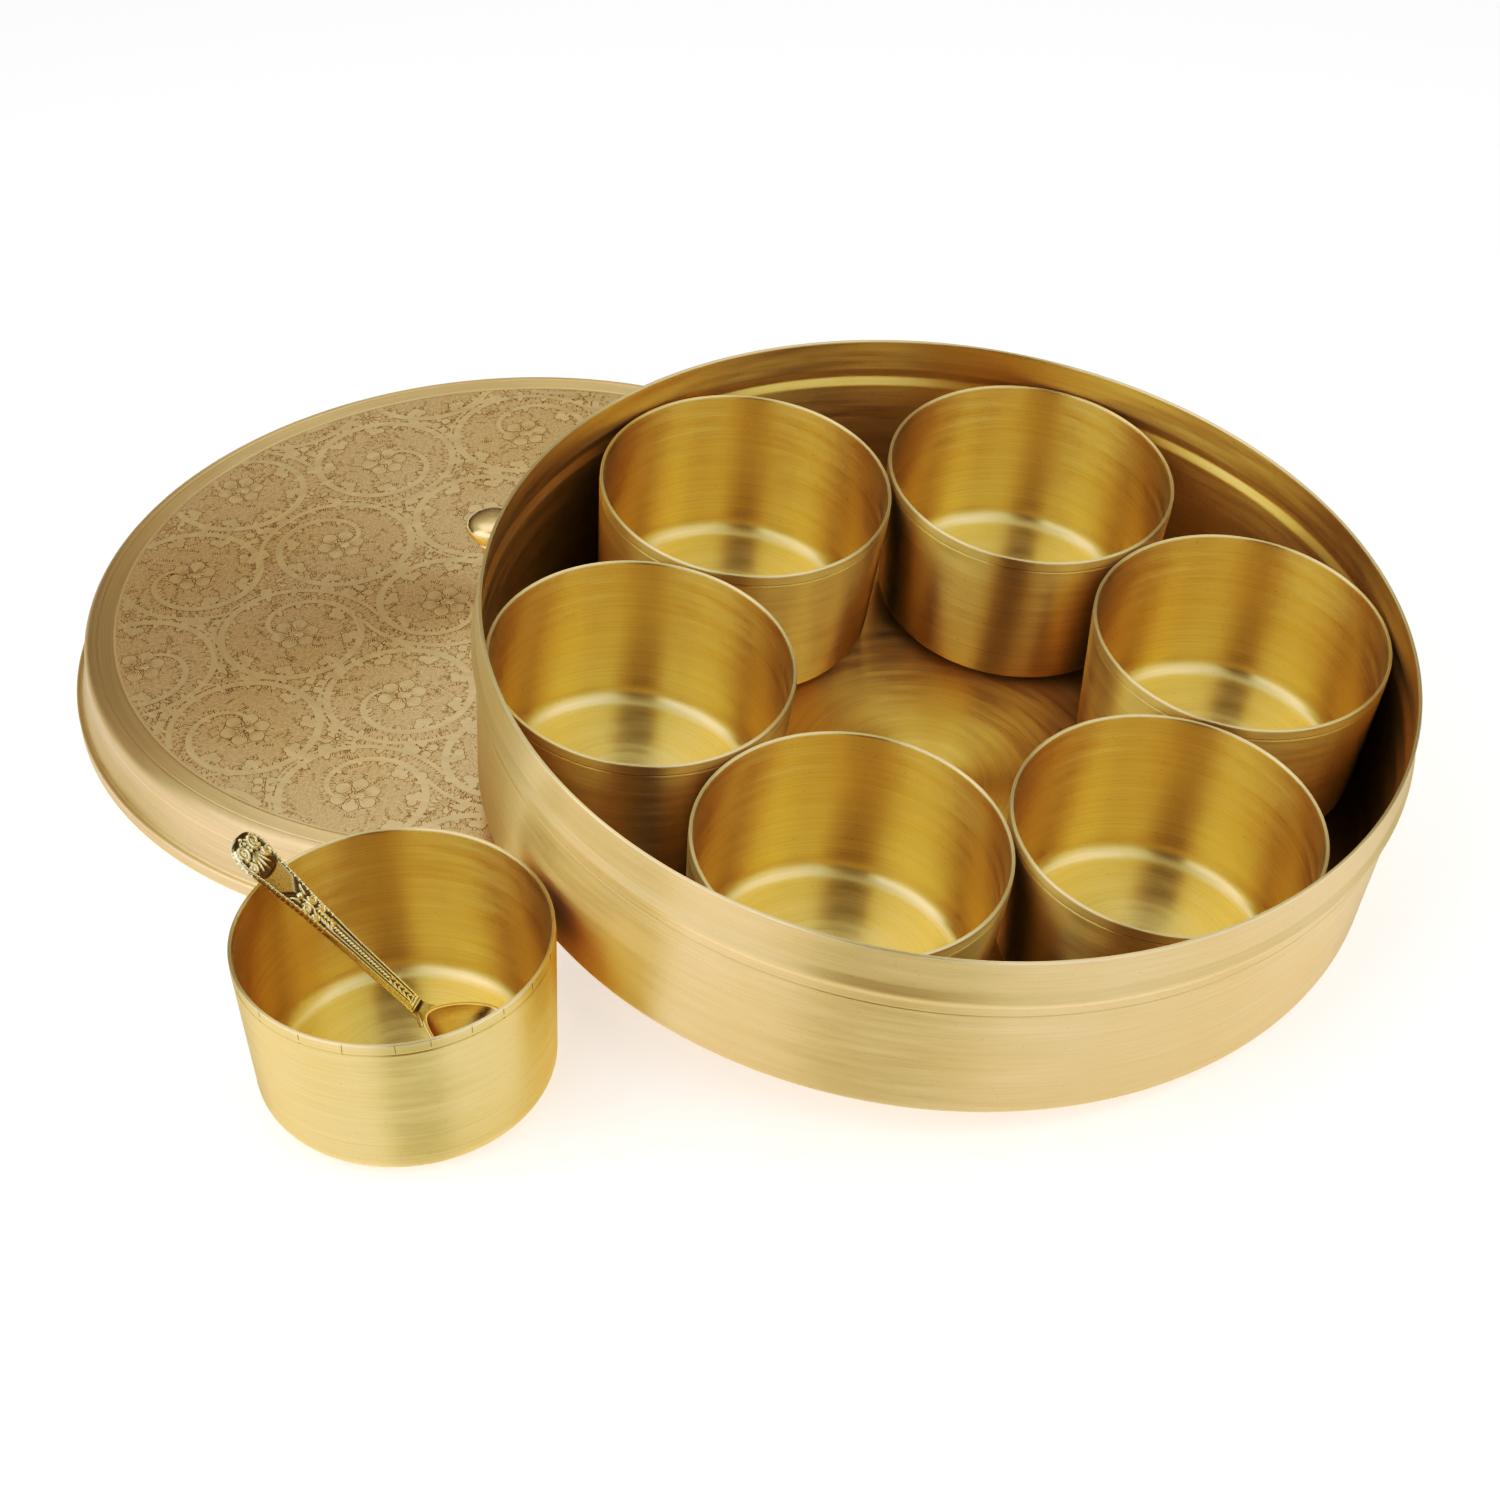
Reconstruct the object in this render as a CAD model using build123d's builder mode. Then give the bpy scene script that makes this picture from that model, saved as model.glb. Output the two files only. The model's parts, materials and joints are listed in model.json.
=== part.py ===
from build123d import *
from math import asin, atan2, cos, degrees, hypot, pi, radians, sin, sqrt, tan
import os

# A brass spice box laid open: the lid lies on the table, the box leans on the lid's edge with
# six bowls in it, and the seventh bowl stands in front with the spoon in it.
# Lengths are millimetres and angles are degrees.

# Bowls, seven alike
bowl_rim_radius = 38.0
bowl_height = 44.0
bowl_draft = 2.5  # how much wider the wall is at the rim than at the foot
bowl_corner_radius = 6.5
bowl_wall = 0.9

# The ring of bowls in the box
bowls_in_ring = 6
bowl_to_bowl_gap = 0.6
bowl_to_box_gap = 0.3
bowl_seat_gap = 0.3
first_bowl_turn = -21.45  # from the uphill side of the box

# Box
box_wall = 0.9
box_height = 53.3
box_draft = 2.2
box_corner_radius = 2.5
box_step_height = 2.6
box_step_out = 1.4
box_step_round = 1.5
box_collar_height = 12.1
box_collar_lean = 1.4  # how far the collar leans in from its foot to the rim

# Lid
lid_wall = 0.9
lid_fit_gap = 0.3  # round the box's rim when the lid is on
lid_height = 19.2
lid_foot_height = 4.0
lid_foot_step = 1.4
lid_cove_height = 9.4
lid_cove_lean = 2.4
lid_cove_hollow = 0.5
lid_skirt_lean = 0.3
lid_shoulder_radius = 3.0

# Knob on the lid, measured up from the lid's top
knob_height = 26.8
knob_foot_radius = 6.0
knob_foot_height = 1.2
knob_stem_radius = 3.4
knob_flare_height = 5.0
knob_collar_radius = 5.0
knob_collar_level = 19.0
knob_collar_height = 0.8
knob_neck_inset = 0.5
knob_cap_radius = 7.2
knob_cap_level = 23.6

# Screw and washer that hold the knob
screw_radius = 2.0
screw_thread_gap = 0.05
screw_hole_gap = 0.25
screw_grip = 6.0  # how far the screw goes into the knob
screw_tip_gap = 1.0
screw_head_radius = 3.6
screw_head_height = 2.2
screw_head_round = 0.7
screw_slot_width = 1.0
screw_slot_depth = 1.1
washer_radius = 4.8
washer_thickness = 0.8

# How the pieces stand
lean_bearing = 151.0  # the way the box's base rises, from +X
box_overhang = 85.2  # how far the box's base reaches past the lid's edge
box_side_offset = 16.7
box_lid_gap = 0.3
bowl_7_box_gap = 0.6
bowl_7_lid_gap = 10.1

# Spoon, in the seventh bowl
spoon_bearing = -19.3  # the way the handle points, from head to dish
spoon_side_offset = 9.66  # of the handle from the bowl's middle
spoon_seat_gap = 0.3
spoon_rim_gap = 0.3
dish_ball_radius = 17.0
dish_depth = 5.5
dish_wall = 1.2
dish_tilt = 15.0
dish_reach = 15.2  # from the bowl's middle to the middle of the dish's curve
handle_length = 62.0
handle_thickness = 2.4
handle_head_width = 10.6
handle_shield_width = 8.5
handle_scroll_width = 6.0
handle_stem_width = 4.4
handle_end_width = 3.6
handle_neck_width = 7.0
handle_rim_mark = 13.0  # from the head's tip to the bowl's rim
neck_length = 3.0
neck_overlap = 1.2

# Radii and levels that follow from the sizes above
bowl_foot_radius = bowl_rim_radius - bowl_draft
ring_radius = (bowl_rim_radius + bowl_to_bowl_gap / 2) / sin(pi / bowls_in_ring)
box_shoulder_radius = ring_radius + bowl_rim_radius + bowl_to_box_gap + box_wall
box_collar_radius = box_shoulder_radius + box_step_out
box_rim_radius = box_collar_radius - box_collar_lean
box_base_radius = box_shoulder_radius - box_draft
box_collar_level = box_height - box_collar_height
box_step_level = box_collar_level - box_step_height
lid_foot_radius = box_rim_radius + lid_fit_gap + lid_wall
lid_cove_radius = lid_foot_radius - lid_foot_step
lid_skirt_radius = lid_cove_radius - lid_cove_lean
lid_edge_radius = lid_skirt_radius - lid_skirt_lean
lid_skirt_level = lid_foot_height + lid_cove_height
screw_hole_radius = screw_radius + screw_hole_gap

# Lean of the box: the straight line of its base touches the round of its own low corner,
# which stands on the table, and clears the round of the lid's shoulder.
box_draft_angle = atan2(box_draft, box_step_level)
corner_ring_radius = box_base_radius - box_corner_radius / tan((pi / 2 + box_draft_angle) / 2)
shoulder_ring_radius = lid_edge_radius - lid_shoulder_radius
base_run = 2 * corner_ring_radius - box_overhang
corner_rounds = box_corner_radius + lid_shoulder_radius + box_lid_gap
corner_rise = lid_height - lid_shoulder_radius - box_corner_radius
corner_distance = hypot(base_run, corner_rounds)
lean = asin(corner_rounds / corner_distance) + asin(corner_rise / corner_distance)

# Places on the table, from the lid's middle
uphill = Vector(cos(radians(lean_bearing)), sin(radians(lean_bearing)), 0)
sideways = Vector(-uphill.Y, uphill.X, 0)
up = Vector(0, 0, 1)
low_edge_reach = shoulder_ring_radius + sqrt(corner_distance**2 - corner_rise**2)
box_reach = low_edge_reach - corner_ring_radius * cos(lean) - box_corner_radius * sin(lean)
box_lift = corner_ring_radius * sin(lean) + box_corner_radius * (1 - cos(lean))
box_axis = up * cos(lean) - uphill * sin(lean)
box_slope = uphill * cos(lean) + up * sin(lean)
box_base = sideways * box_side_offset - uphill * box_reach + up * box_lift
collar_middle = box_base + box_axis * box_collar_level
rim_middle = box_base + box_axis * box_height

# The seventh bowl clears both the box's collar and the lid, in front of them.
collar_distance = hypot(collar_middle.X, collar_middle.Y)
bowl_7_from_box = box_collar_radius + bowl_rim_radius + bowl_7_box_gap
bowl_7_from_lid = lid_foot_radius + bowl_rim_radius + bowl_7_lid_gap
along = (bowl_7_from_lid**2 - bowl_7_from_box**2 + collar_distance**2) / (2 * collar_distance)
across = sqrt(bowl_7_from_lid**2 - along**2)
to_collar = Vector(collar_middle.X, collar_middle.Y, 0) / collar_distance
to_front = Vector(to_collar.Y, -to_collar.X, 0)
bowl_7_middle = to_collar * along + to_front * across

# The origin is on the table, in the middle of everything: each edge that may be outermost
# is a circle with its middle, its radius and its axis.
edge_circles = [
    (Vector(0, 0, 0), lid_foot_radius, up),
    (bowl_7_middle, bowl_rim_radius, up),
    (collar_middle, box_collar_radius, box_axis),
    (rim_middle, box_rim_radius, box_axis),
]
x_reaches = [(c.X, r * sqrt(1 - a.X**2)) for c, r, a in edge_circles]
y_reaches = [(c.Y, r * sqrt(1 - a.Y**2)) for c, r, a in edge_circles]
x_middle = (min(c - r for c, r in x_reaches) + max(c + r for c, r in x_reaches)) / 2
y_middle = (min(c - r for c, r in y_reaches) + max(c + r for c, r in y_reaches)) / 2
origin = Vector(x_middle, y_middle, 0)

lid_seat = Plane(origin=-origin)
box_seat = Plane(origin=box_base - origin, x_dir=box_slope, z_dir=box_axis)
bowl_7_seat = Plane(origin=bowl_7_middle - origin)


def upright(seat):
    """The plane that holds a turned piece's profile: radius along x, height along y."""
    return Plane(origin=seat.origin, x_dir=seat.x_dir, z_dir=-seat.y_dir)


def turning_axis(seat):
    return Axis(seat.origin, seat.z_dir)


def corner(sketch, level, place=-1):
    """The corner of a profile at a level, the outermost unless another is asked for."""
    at_level = [v for v in sketch.vertices() if abs(v.Y - level) < 1e-6]
    return sorted(at_level, key=lambda v: v.X)[place]


def make_bowl(seat):
    with BuildPart() as bowl:
        with BuildSketch(upright(seat)) as profile:
            with BuildLine():
                Polyline(
                    (0, 0),
                    (bowl_foot_radius, 0),
                    (bowl_rim_radius, bowl_height),
                    (bowl_rim_radius - bowl_wall, bowl_height),
                    (bowl_foot_radius - bowl_wall, bowl_wall),
                    (0, bowl_wall),
                    close=True,
                )
            make_face()
            fillet(corner(profile.sketch_local, 0), bowl_corner_radius)
            fillet(corner(profile.sketch_local, bowl_wall), bowl_corner_radius - bowl_wall)
        revolve(axis=turning_axis(seat))
    return bowl.part


def make_box(seat):
    with BuildPart() as box:
        with BuildSketch(upright(seat)) as profile:
            with BuildLine():
                Polyline(
                    (0, 0),
                    (box_base_radius, 0),
                    (box_shoulder_radius, box_step_level),
                    (box_collar_radius, box_collar_level),
                    (box_rim_radius, box_height),
                    (box_rim_radius - box_wall, box_height),
                    (box_collar_radius - box_wall, box_collar_level),
                    (box_shoulder_radius - box_wall, box_step_level),
                    (box_base_radius - box_wall, box_wall),
                    (0, box_wall),
                    close=True,
                )
            make_face()
            step_corners = [
                corner(profile.sketch_local, level, place)
                for level in (box_step_level, box_collar_level)
                for place in (0, -1)
            ]
            fillet(step_corners, box_step_round)
            fillet(corner(profile.sketch_local, 0), box_corner_radius)
            fillet(corner(profile.sketch_local, box_wall), box_corner_radius - box_wall)
        revolve(axis=turning_axis(seat))
    return box.part


def make_lid(seat):
    top_inside = lid_height - lid_wall
    ledge_level = lid_foot_height - lid_wall
    with BuildPart() as lid:
        with BuildSketch(upright(seat)) as profile:
            with BuildLine():
                Polyline(
                    (lid_foot_radius - lid_wall, ledge_level),
                    (lid_foot_radius - lid_wall, 0),
                    (lid_foot_radius, 0),
                    (lid_foot_radius, lid_foot_height),
                    (lid_cove_radius, lid_foot_height),
                )
                SagittaArc(
                    (lid_cove_radius, lid_foot_height),
                    (lid_skirt_radius, lid_skirt_level),
                    lid_cove_hollow,
                )
                Polyline(
                    (lid_skirt_radius, lid_skirt_level),
                    (lid_edge_radius, lid_height),
                    (screw_hole_radius, lid_height),
                    (screw_hole_radius, top_inside),
                    (lid_edge_radius - lid_wall, top_inside),
                    (lid_skirt_radius - lid_wall, lid_skirt_level),
                )
                SagittaArc(
                    (lid_skirt_radius - lid_wall, lid_skirt_level),
                    (lid_cove_radius - lid_wall, ledge_level),
                    -lid_cove_hollow,
                )
                Line(
                    (lid_cove_radius - lid_wall, ledge_level),
                    (lid_foot_radius - lid_wall, ledge_level),
                )
            make_face()
            fillet(corner(profile.sketch_local, lid_height), lid_shoulder_radius)
            fillet(corner(profile.sketch_local, top_inside), lid_shoulder_radius - lid_wall)
        revolve(axis=turning_axis(seat))
    return lid.part


def make_knob(seat):
    bore_radius = screw_radius + screw_thread_gap
    bore_depth = screw_grip + screw_tip_gap
    collar_top = knob_collar_level + knob_collar_height
    swell_level = knob_collar_level - knob_flare_height
    with BuildPart() as knob:
        with BuildSketch(upright(seat)):
            with BuildLine():
                Polyline(
                    (0, bore_depth),
                    (bore_radius, bore_depth),
                    (bore_radius, 0),
                    (knob_foot_radius, 0),
                    (knob_foot_radius, knob_foot_height),
                )
                Bezier(
                    (knob_foot_radius, knob_foot_height),
                    (knob_stem_radius, knob_foot_height),
                    (knob_stem_radius, knob_foot_height + knob_flare_height),
                )
                Line(
                    (knob_stem_radius, knob_foot_height + knob_flare_height),
                    (knob_stem_radius, swell_level),
                )
                Bezier(
                    (knob_stem_radius, swell_level),
                    (knob_stem_radius, knob_collar_level),
                    (knob_collar_radius, knob_collar_level),
                )
                Polyline(
                    (knob_collar_radius, knob_collar_level),
                    (knob_collar_radius, collar_top),
                    (knob_collar_radius - knob_neck_inset, collar_top),
                    (knob_cap_radius, knob_cap_level),
                )
                Bezier(
                    (knob_cap_radius, knob_cap_level),
                    (knob_cap_radius, knob_height),
                    (0, knob_height),
                )
                Line((0, knob_height), (0, bore_depth))
            make_face()
        revolve(axis=turning_axis(seat))
    return knob.part


def make_washer(seat):
    with BuildPart() as washer:
        with BuildSketch(seat):
            Circle(washer_radius)
            Circle(screw_hole_radius, mode=Mode.SUBTRACT)
        extrude(amount=-washer_thickness)
    return washer.part


def make_screw(head_seat):
    """A slotted screw from below: the head hangs under head_seat and the shank rises from it."""
    shank_length = screw_grip + lid_wall + washer_thickness
    with BuildPart() as screw:
        with BuildSketch(head_seat):
            Circle(screw_head_radius)
        extrude(amount=-screw_head_height)
        fillet(screw.edges().filter_by(GeomType.CIRCLE).sort_by(Axis.Z)[0], screw_head_round)
        with BuildSketch(head_seat.offset(-screw_head_height)):
            Rectangle(2 * screw_head_radius, screw_slot_width)
        extrude(amount=screw_slot_depth, mode=Mode.SUBTRACT)
        with BuildSketch(head_seat):
            Circle(screw_radius)
        extrude(amount=shank_length)
    return screw.part


def make_spoon(seat):
    # The dish is a cap of a ball whose lowest point is just above the bowl's floor.
    forward = Vector(cos(radians(spoon_bearing)), sin(radians(spoon_bearing)), 0)
    side = Vector(-forward.Y, forward.X, 0)
    floor_level = bowl_wall + spoon_seat_gap
    ball_middle = seat.origin + forward * dish_reach + side * spoon_side_offset
    ball_middle += up * (floor_level + dish_ball_radius)
    tilt = radians(dish_tilt)
    dish_axis = forward * sin(tilt) + up * cos(tilt)
    dish_forward = forward * cos(tilt) - up * sin(tilt)
    rim_drop = dish_ball_radius - dish_depth
    outer_radius = sqrt(dish_ball_radius**2 - rim_drop**2)
    inner_ball = dish_ball_radius - dish_wall
    inner_radius = sqrt(inner_ball**2 - rim_drop**2)

    # The handle's pitch takes its underside just over the bowl's rim.
    back_rim = ball_middle - dish_axis * rim_drop - dish_forward * (outer_radius + inner_radius) / 2
    rim_side = spoon_side_offset + handle_shield_width / 2
    rim_back = -sqrt((bowl_rim_radius - bowl_wall) ** 2 - rim_side**2)
    run = (back_rim - seat.origin).dot(forward) - rim_back
    rise = bowl_height - (back_rim - seat.origin).Z
    pitch = atan2(rise, run) + asin((spoon_rim_gap + handle_thickness / 2) / hypot(run, rise))
    handle_way = forward * cos(pitch) - up * sin(pitch)
    handle_up = forward * sin(pitch) + up * cos(pitch)
    handle_seat = Plane(
        origin=back_rim - handle_up * (handle_thickness / 2), x_dir=handle_way, z_dir=handle_up
    )

    with BuildPart() as handle:
        with BuildSketch(handle_seat):
            with BuildLine():
                tip = -handle_length
                Spline(
                    (tip, 0),
                    (tip + 0.5 * handle_rim_mark, handle_head_width / 2),
                    (tip + handle_rim_mark, handle_shield_width / 2),
                    (tip + 2 * handle_rim_mark, handle_scroll_width / 2),
                    (tip + 3 * handle_rim_mark, handle_stem_width / 2),
                    (-neck_length, handle_end_width / 2),
                )
                Polyline(
                    (-neck_length, handle_end_width / 2),
                    (neck_overlap, handle_neck_width / 2),
                    (neck_overlap, 0),
                )
                mirror(about=Plane.XZ)
            make_face()
        extrude(amount=handle_thickness)

    with BuildPart() as spoon:
        dish_seat = Plane(origin=ball_middle, x_dir=dish_forward, z_dir=dish_axis)
        outer_start = degrees(atan2(-rim_drop, outer_radius))
        inner_start = degrees(atan2(-rim_drop, inner_radius))
        with BuildSketch(upright(dish_seat)):
            with BuildLine():
                CenterArc((0, 0), dish_ball_radius, -90, 90 + outer_start)
                Line((outer_radius, -rim_drop), (inner_radius, -rim_drop))
                CenterArc((0, 0), inner_ball, inner_start, -90 - inner_start)
                Line((0, -inner_ball), (0, -dish_ball_radius))
            make_face()
        revolve(axis=turning_axis(dish_seat))
        add(handle.part)
    return spoon.part


def save(piece, name):
    piece.label = name
    export_step(piece, f"parts/{name}.step")


os.makedirs("parts", exist_ok=True)

lid_top_seat = lid_seat.offset(lid_height)
washer_seat = lid_seat.offset(lid_height - lid_wall)
save(make_lid(lid_seat), "lid_shell")
save(make_knob(lid_top_seat), "lid_knob")
save(make_washer(washer_seat), "knob_washer")
save(make_screw(washer_seat.offset(-washer_thickness)), "knob_screw")
save(make_box(box_seat), "box_body")

for number in range(bowls_in_ring):
    turn = radians(first_bowl_turn - 360 / bowls_in_ring * number)
    foot = (ring_radius * cos(turn), ring_radius * sin(turn), box_wall + bowl_seat_gap)
    seat = Plane(
        origin=box_seat.from_local_coords(foot), x_dir=box_seat.x_dir, z_dir=box_seat.z_dir
    )
    save(make_bowl(seat), f"bowl_{number + 1}")

save(make_bowl(bowl_7_seat), f"bowl_{bowls_in_ring + 1}")
save(make_spoon(bowl_7_seat), "spoon")

print("lean of the box, degrees:", round(degrees(lean), 3))
print("origin from the lid's middle:", [round(v, 2) for v in tuple(origin)])
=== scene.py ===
import json
from math import asin, atan2, ceil, cos, log, pi, radians, sin, sqrt, tan
from random import Random

import bmesh
import bpy
from mathutils import Matrix, Vector
from mathutils.kdtree import KDTree


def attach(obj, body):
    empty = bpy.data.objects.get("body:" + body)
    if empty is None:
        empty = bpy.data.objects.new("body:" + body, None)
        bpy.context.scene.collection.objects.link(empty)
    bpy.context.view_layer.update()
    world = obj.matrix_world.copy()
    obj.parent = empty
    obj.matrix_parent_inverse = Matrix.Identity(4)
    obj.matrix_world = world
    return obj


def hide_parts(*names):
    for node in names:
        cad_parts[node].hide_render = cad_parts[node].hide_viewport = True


# A spun brass spice box laid open, as metalwork: turned shells with their brushed grain, an etched
# lid, a polished knob and a small cast spoon. Sizes in the dictionaries are millimetres and degrees,
# but noise scales are per metre and bump depths in metres.
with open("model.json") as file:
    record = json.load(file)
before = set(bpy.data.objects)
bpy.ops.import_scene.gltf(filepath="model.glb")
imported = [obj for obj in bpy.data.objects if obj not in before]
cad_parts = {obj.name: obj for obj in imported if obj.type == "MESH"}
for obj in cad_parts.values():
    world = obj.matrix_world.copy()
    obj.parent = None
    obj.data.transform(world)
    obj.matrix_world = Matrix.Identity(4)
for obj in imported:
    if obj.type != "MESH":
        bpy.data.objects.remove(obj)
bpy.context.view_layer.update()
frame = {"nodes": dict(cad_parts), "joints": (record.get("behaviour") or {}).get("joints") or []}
mm = 0.001
upright = Vector((0, 0, 1))


def addObject(name, data):
    thing = bpy.data.objects.new(name, data)
    bpy.context.scene.collection.objects.link(thing)
    return thing


# Small helpers for node trees. A source is a socket or a plain value.
def addNode(tree, kind, sources=(), **settings):
    node = tree.nodes.new(kind)
    for key, value in settings.items():
        setattr(node, key, value)
    for key, source in dict(sources).items():
        if isinstance(source, bpy.types.NodeSocket):
            tree.links.new(source, node.inputs[key])
        else:
            node.inputs[key].default_value = source
    return node


def mathNode(tree, operation, a, b=0.0):
    return addNode(tree, "ShaderNodeMath", {0: a, 1: b}, operation=operation).outputs[0]


def product(tree, a, b):
    return mathNode(tree, "MULTIPLY", a, b)


def splitVector(tree, vector):
    return addNode(tree, "ShaderNodeSeparateXYZ", {0: vector}).outputs


def joinVector(tree, x=0.0, y=0.0, z=0.0):
    return addNode(tree, "ShaderNodeCombineXYZ", {0: x, 1: y, 2: z}).outputs[0]


def scaleVector(tree, vector, scale):
    return addNode(tree, "ShaderNodeVectorMath", {0: vector, 1: scale}, operation="MULTIPLY").outputs[0]


def mapRange(tree, value, fromLow=0.0, fromHigh=1.0, toLow=0.0, toHigh=1.0):
    labels = ("Value", "From Min", "From Max", "To Min", "To Max")
    sources = dict(zip(labels, (value, fromLow, fromHigh, toLow, toHigh)))
    return addNode(tree, "ShaderNodeMapRange", sources).outputs["Result"]


def mixColor(tree, share, base, over):
    if not isinstance(over, bpy.types.NodeSocket):
        over = (*over, 1)
    sources = {"Factor": share, "A": base, "B": over}
    return addNode(tree, "ShaderNodeMix", sources, data_type="RGBA").outputs["Result"]


def noise(tree, where, scale, detail):
    sources = {"Vector": where, "Scale": scale, "Detail": detail}
    return addNode(tree, "ShaderNodeTexNoise", sources).outputs["Fac"]


def newTree(kind, name, inputs, outputs):
    # a node group with its named sockets; an input may have a value
    tree = bpy.data.node_groups.new(name, kind)
    for label, socketKind, *value in inputs:
        socket = tree.interface.new_socket(label, in_out="INPUT", socket_type="NodeSocket" + socketKind)
        if value:
            socket.default_value = value[0]
    for label, socketKind in outputs:
        tree.interface.new_socket(label, in_out="OUTPUT", socket_type="NodeSocket" + socketKind)
    return tree, tree.nodes.new("NodeGroupInput").outputs, tree.nodes.new("NodeGroupOutput").inputs


def newMaterial(name, values):
    # values are set on the shader's own sockets
    finish = bpy.data.materials.new(name)
    finish.use_nodes = True
    tree = finish.node_tree
    surface = tree.nodes["Principled BSDF"]
    for label, value in values.items():
        surface.inputs[label].default_value = value
    return finish, tree, surface


# Camera, floor and lights; the camera's two angles are radians
cameraView = dict(lens=80.49, place=(9.17, -699.82, 558.9), lookDown=0.677, roll=-0.036)


def makeCamera():
    data = bpy.data.cameras.new("camera")
    data.lens = cameraView["lens"]
    camera = addObject("camera", data)
    place = Matrix.Translation(Vector(cameraView["place"]) * mm)
    tilt = Matrix.Rotation(pi / 2 - cameraView["lookDown"], 4, "X")
    camera.matrix_world = place @ tilt @ Matrix.Rotation(cameraView["roll"], 4, "Z")
    bpy.context.scene.camera = camera


floorLook = dict(size=20000, white=0.8, rough=0.9, glow=0.58)


def makeFloor():
    half = floorLook["size"] / 2 * mm
    corners = [(-half, -half, 0), (half, -half, 0), (half, half, 0), (-half, half, 0)]
    mesh = bpy.data.meshes.new("floor")
    mesh.from_pydata(corners, [], [(0, 1, 2, 3)])
    white = floorLook["white"]
    paper, _, _ = newMaterial("palePaper", {
        "Base Color": (white, white, white, 1), "Roughness": floorLook["rough"], "Specular IOR Level": 0.0,
        "Emission Color": (1, 1, 1, 1), "Emission Strength": floorLook["glow"],
    })
    mesh.materials.append(paper)
    floor = addObject("floor", mesh)


# Two tall soft panels stand left and right of the camera, with a dark gap between them, and a
# wide one hangs above. Each has its two lower corners, its height and its brightness.
softPanels = dict(
    left=dict(start=(-135, -520), end=(-640, 0), low=80, high=960, glow=1.42),
    right=dict(start=(150, -520), end=(700, 60), low=80, high=960, glow=0.98),
    top=dict(start=(-650, -150), end=(650, -150), low=1150, depth=1000, glow=0.72),
)


def makePanel(name, panel):
    start, end = (Vector((*panel[corner], panel["low"])) * mm for corner in ("start", "end"))
    along = (end - start).normalized()
    width = (end - start).length
    if "depth" in panel:
        height = panel["depth"] * mm
        facing = -upright
        middle = (start + end) / 2 + Vector((0, height / 2, 0))
    else:
        height = (panel["high"] - panel["low"]) * mm
        facing = upright.cross(along)
        if facing.dot(start) > 0:
            facing = -facing
        middle = (start + end) / 2 + upright * height / 2
    data = bpy.data.lights.new(name, "AREA")
    data.shape = "RECTANGLE"
    data.size, data.size_y = width, height
    data.energy = panel["glow"] * width * height * pi  # power for one unit of radiance is area times pi
    light = addObject(name, data)
    turn = Matrix((-along, facing.cross(along), -facing)).transposed()
    light.matrix_world = Matrix.Translation(middle) @ turn.to_4x4()
    light.visible_camera = False


# The room's brightness: dark in front, and behind that rising from the horizon to overhead. Levels
# are parts of the way from the horizon up, and ways are parts of the way from front to back.
roomLight = dict(
    front=0.02, horizon=0.1, overhead=0.6,
    horizonLevel=0.25, overheadLevel=0.75, frontWay=-0.7, backWay=0.1,
)


def makeRoom():
    room = roomLight
    world = bpy.data.worlds.new("room")
    bpy.context.scene.world = world
    world.use_nodes = True
    tree = world.node_tree
    way = splitVector(tree, addNode(tree, "ShaderNodeTexCoord").outputs["Generated"])
    rise = mapRange(
        tree, way["Z"], room["horizonLevel"], room["overheadLevel"], room["horizon"], room["overhead"],
    )
    fade = mapRange(tree, way["Y"], room["frontWay"], room["backWay"], room["front"], rise)
    sky = tree.nodes["Background"]
    sky.inputs["Color"].default_value = (1, 1, 1, 1)
    tree.links.new(fade, sky.inputs["Strength"])


# The photograph's contrast, as light in and light shown
toneCurve = (
    (0.0, 0.0), (0.1, 0.04), (0.22, 0.155), (0.4, 0.365), (0.74, 0.66), (0.98, 0.86), (1.15, 1.0),
)


def printLook():
    view = bpy.context.scene.view_settings
    view.view_transform = "Standard"
    view.use_curve_mapping = True
    brightest = toneCurve[-1][0]
    view.curve_mapping.white_level = (brightest, brightest, brightest)
    curve = view.curve_mapping.curves[3]
    for light, shown in toneCurve[1:-1]:
        curve.points.new(light / brightest, shown)
    view.curve_mapping.update()


makeCamera()
makeFloor()
for name, panel in softPanels.items():
    makePanel(name + "Panel", panel)
makeRoom()
printLook()
print("camera, floor and lights")


# Brushed grain of a turned piece: noise that is long round the axis and fine along the profile.
# The attribute "turned" holds a point's local x and y and its way along the profile, in metres.
# A layer has the scale it takes, its detail and its share of the height.
grainLayers = (("Fine", 3.0, 0.65), ("Broad", 2.0, 0.35))


def makeTurnedGrain():
    tree, given, result = newTree(
        "ShaderNodeTree", "turnedGrain",
        [("Fine", "Float", 2600.0), ("Broad", "Float", 420.0), ("Around", "Float", 36.0)],
        [("Bands", "Float"), ("Height", "Float")],
    )
    place = addNode(tree, "ShaderNodeAttribute", attribute_name="turned")
    x, y, along = splitVector(tree, place.outputs["Vector"])
    x, y = (product(tree, across, given["Around"]) for across in (x, y))
    heights = []
    for scale, detail, share in grainLayers:
        z = product(tree, along, given[scale])
        layer = noise(tree, joinVector(tree, x, y, z), 1.0, detail)
        heights.append(product(tree, layer, share))
    tree.links.new(layer, result["Bands"])
    tree.links.new(mathNode(tree, "ADD", *heights), result["Height"])
    return tree


# Tone of old polished brass: slow warm and pale patches, with a few tiny dark specks
toneNoise = dict(patches=22.0, patchRange=(0.35, 0.65), specks=1400.0, speckRange=(0.7, 0.78))


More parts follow.
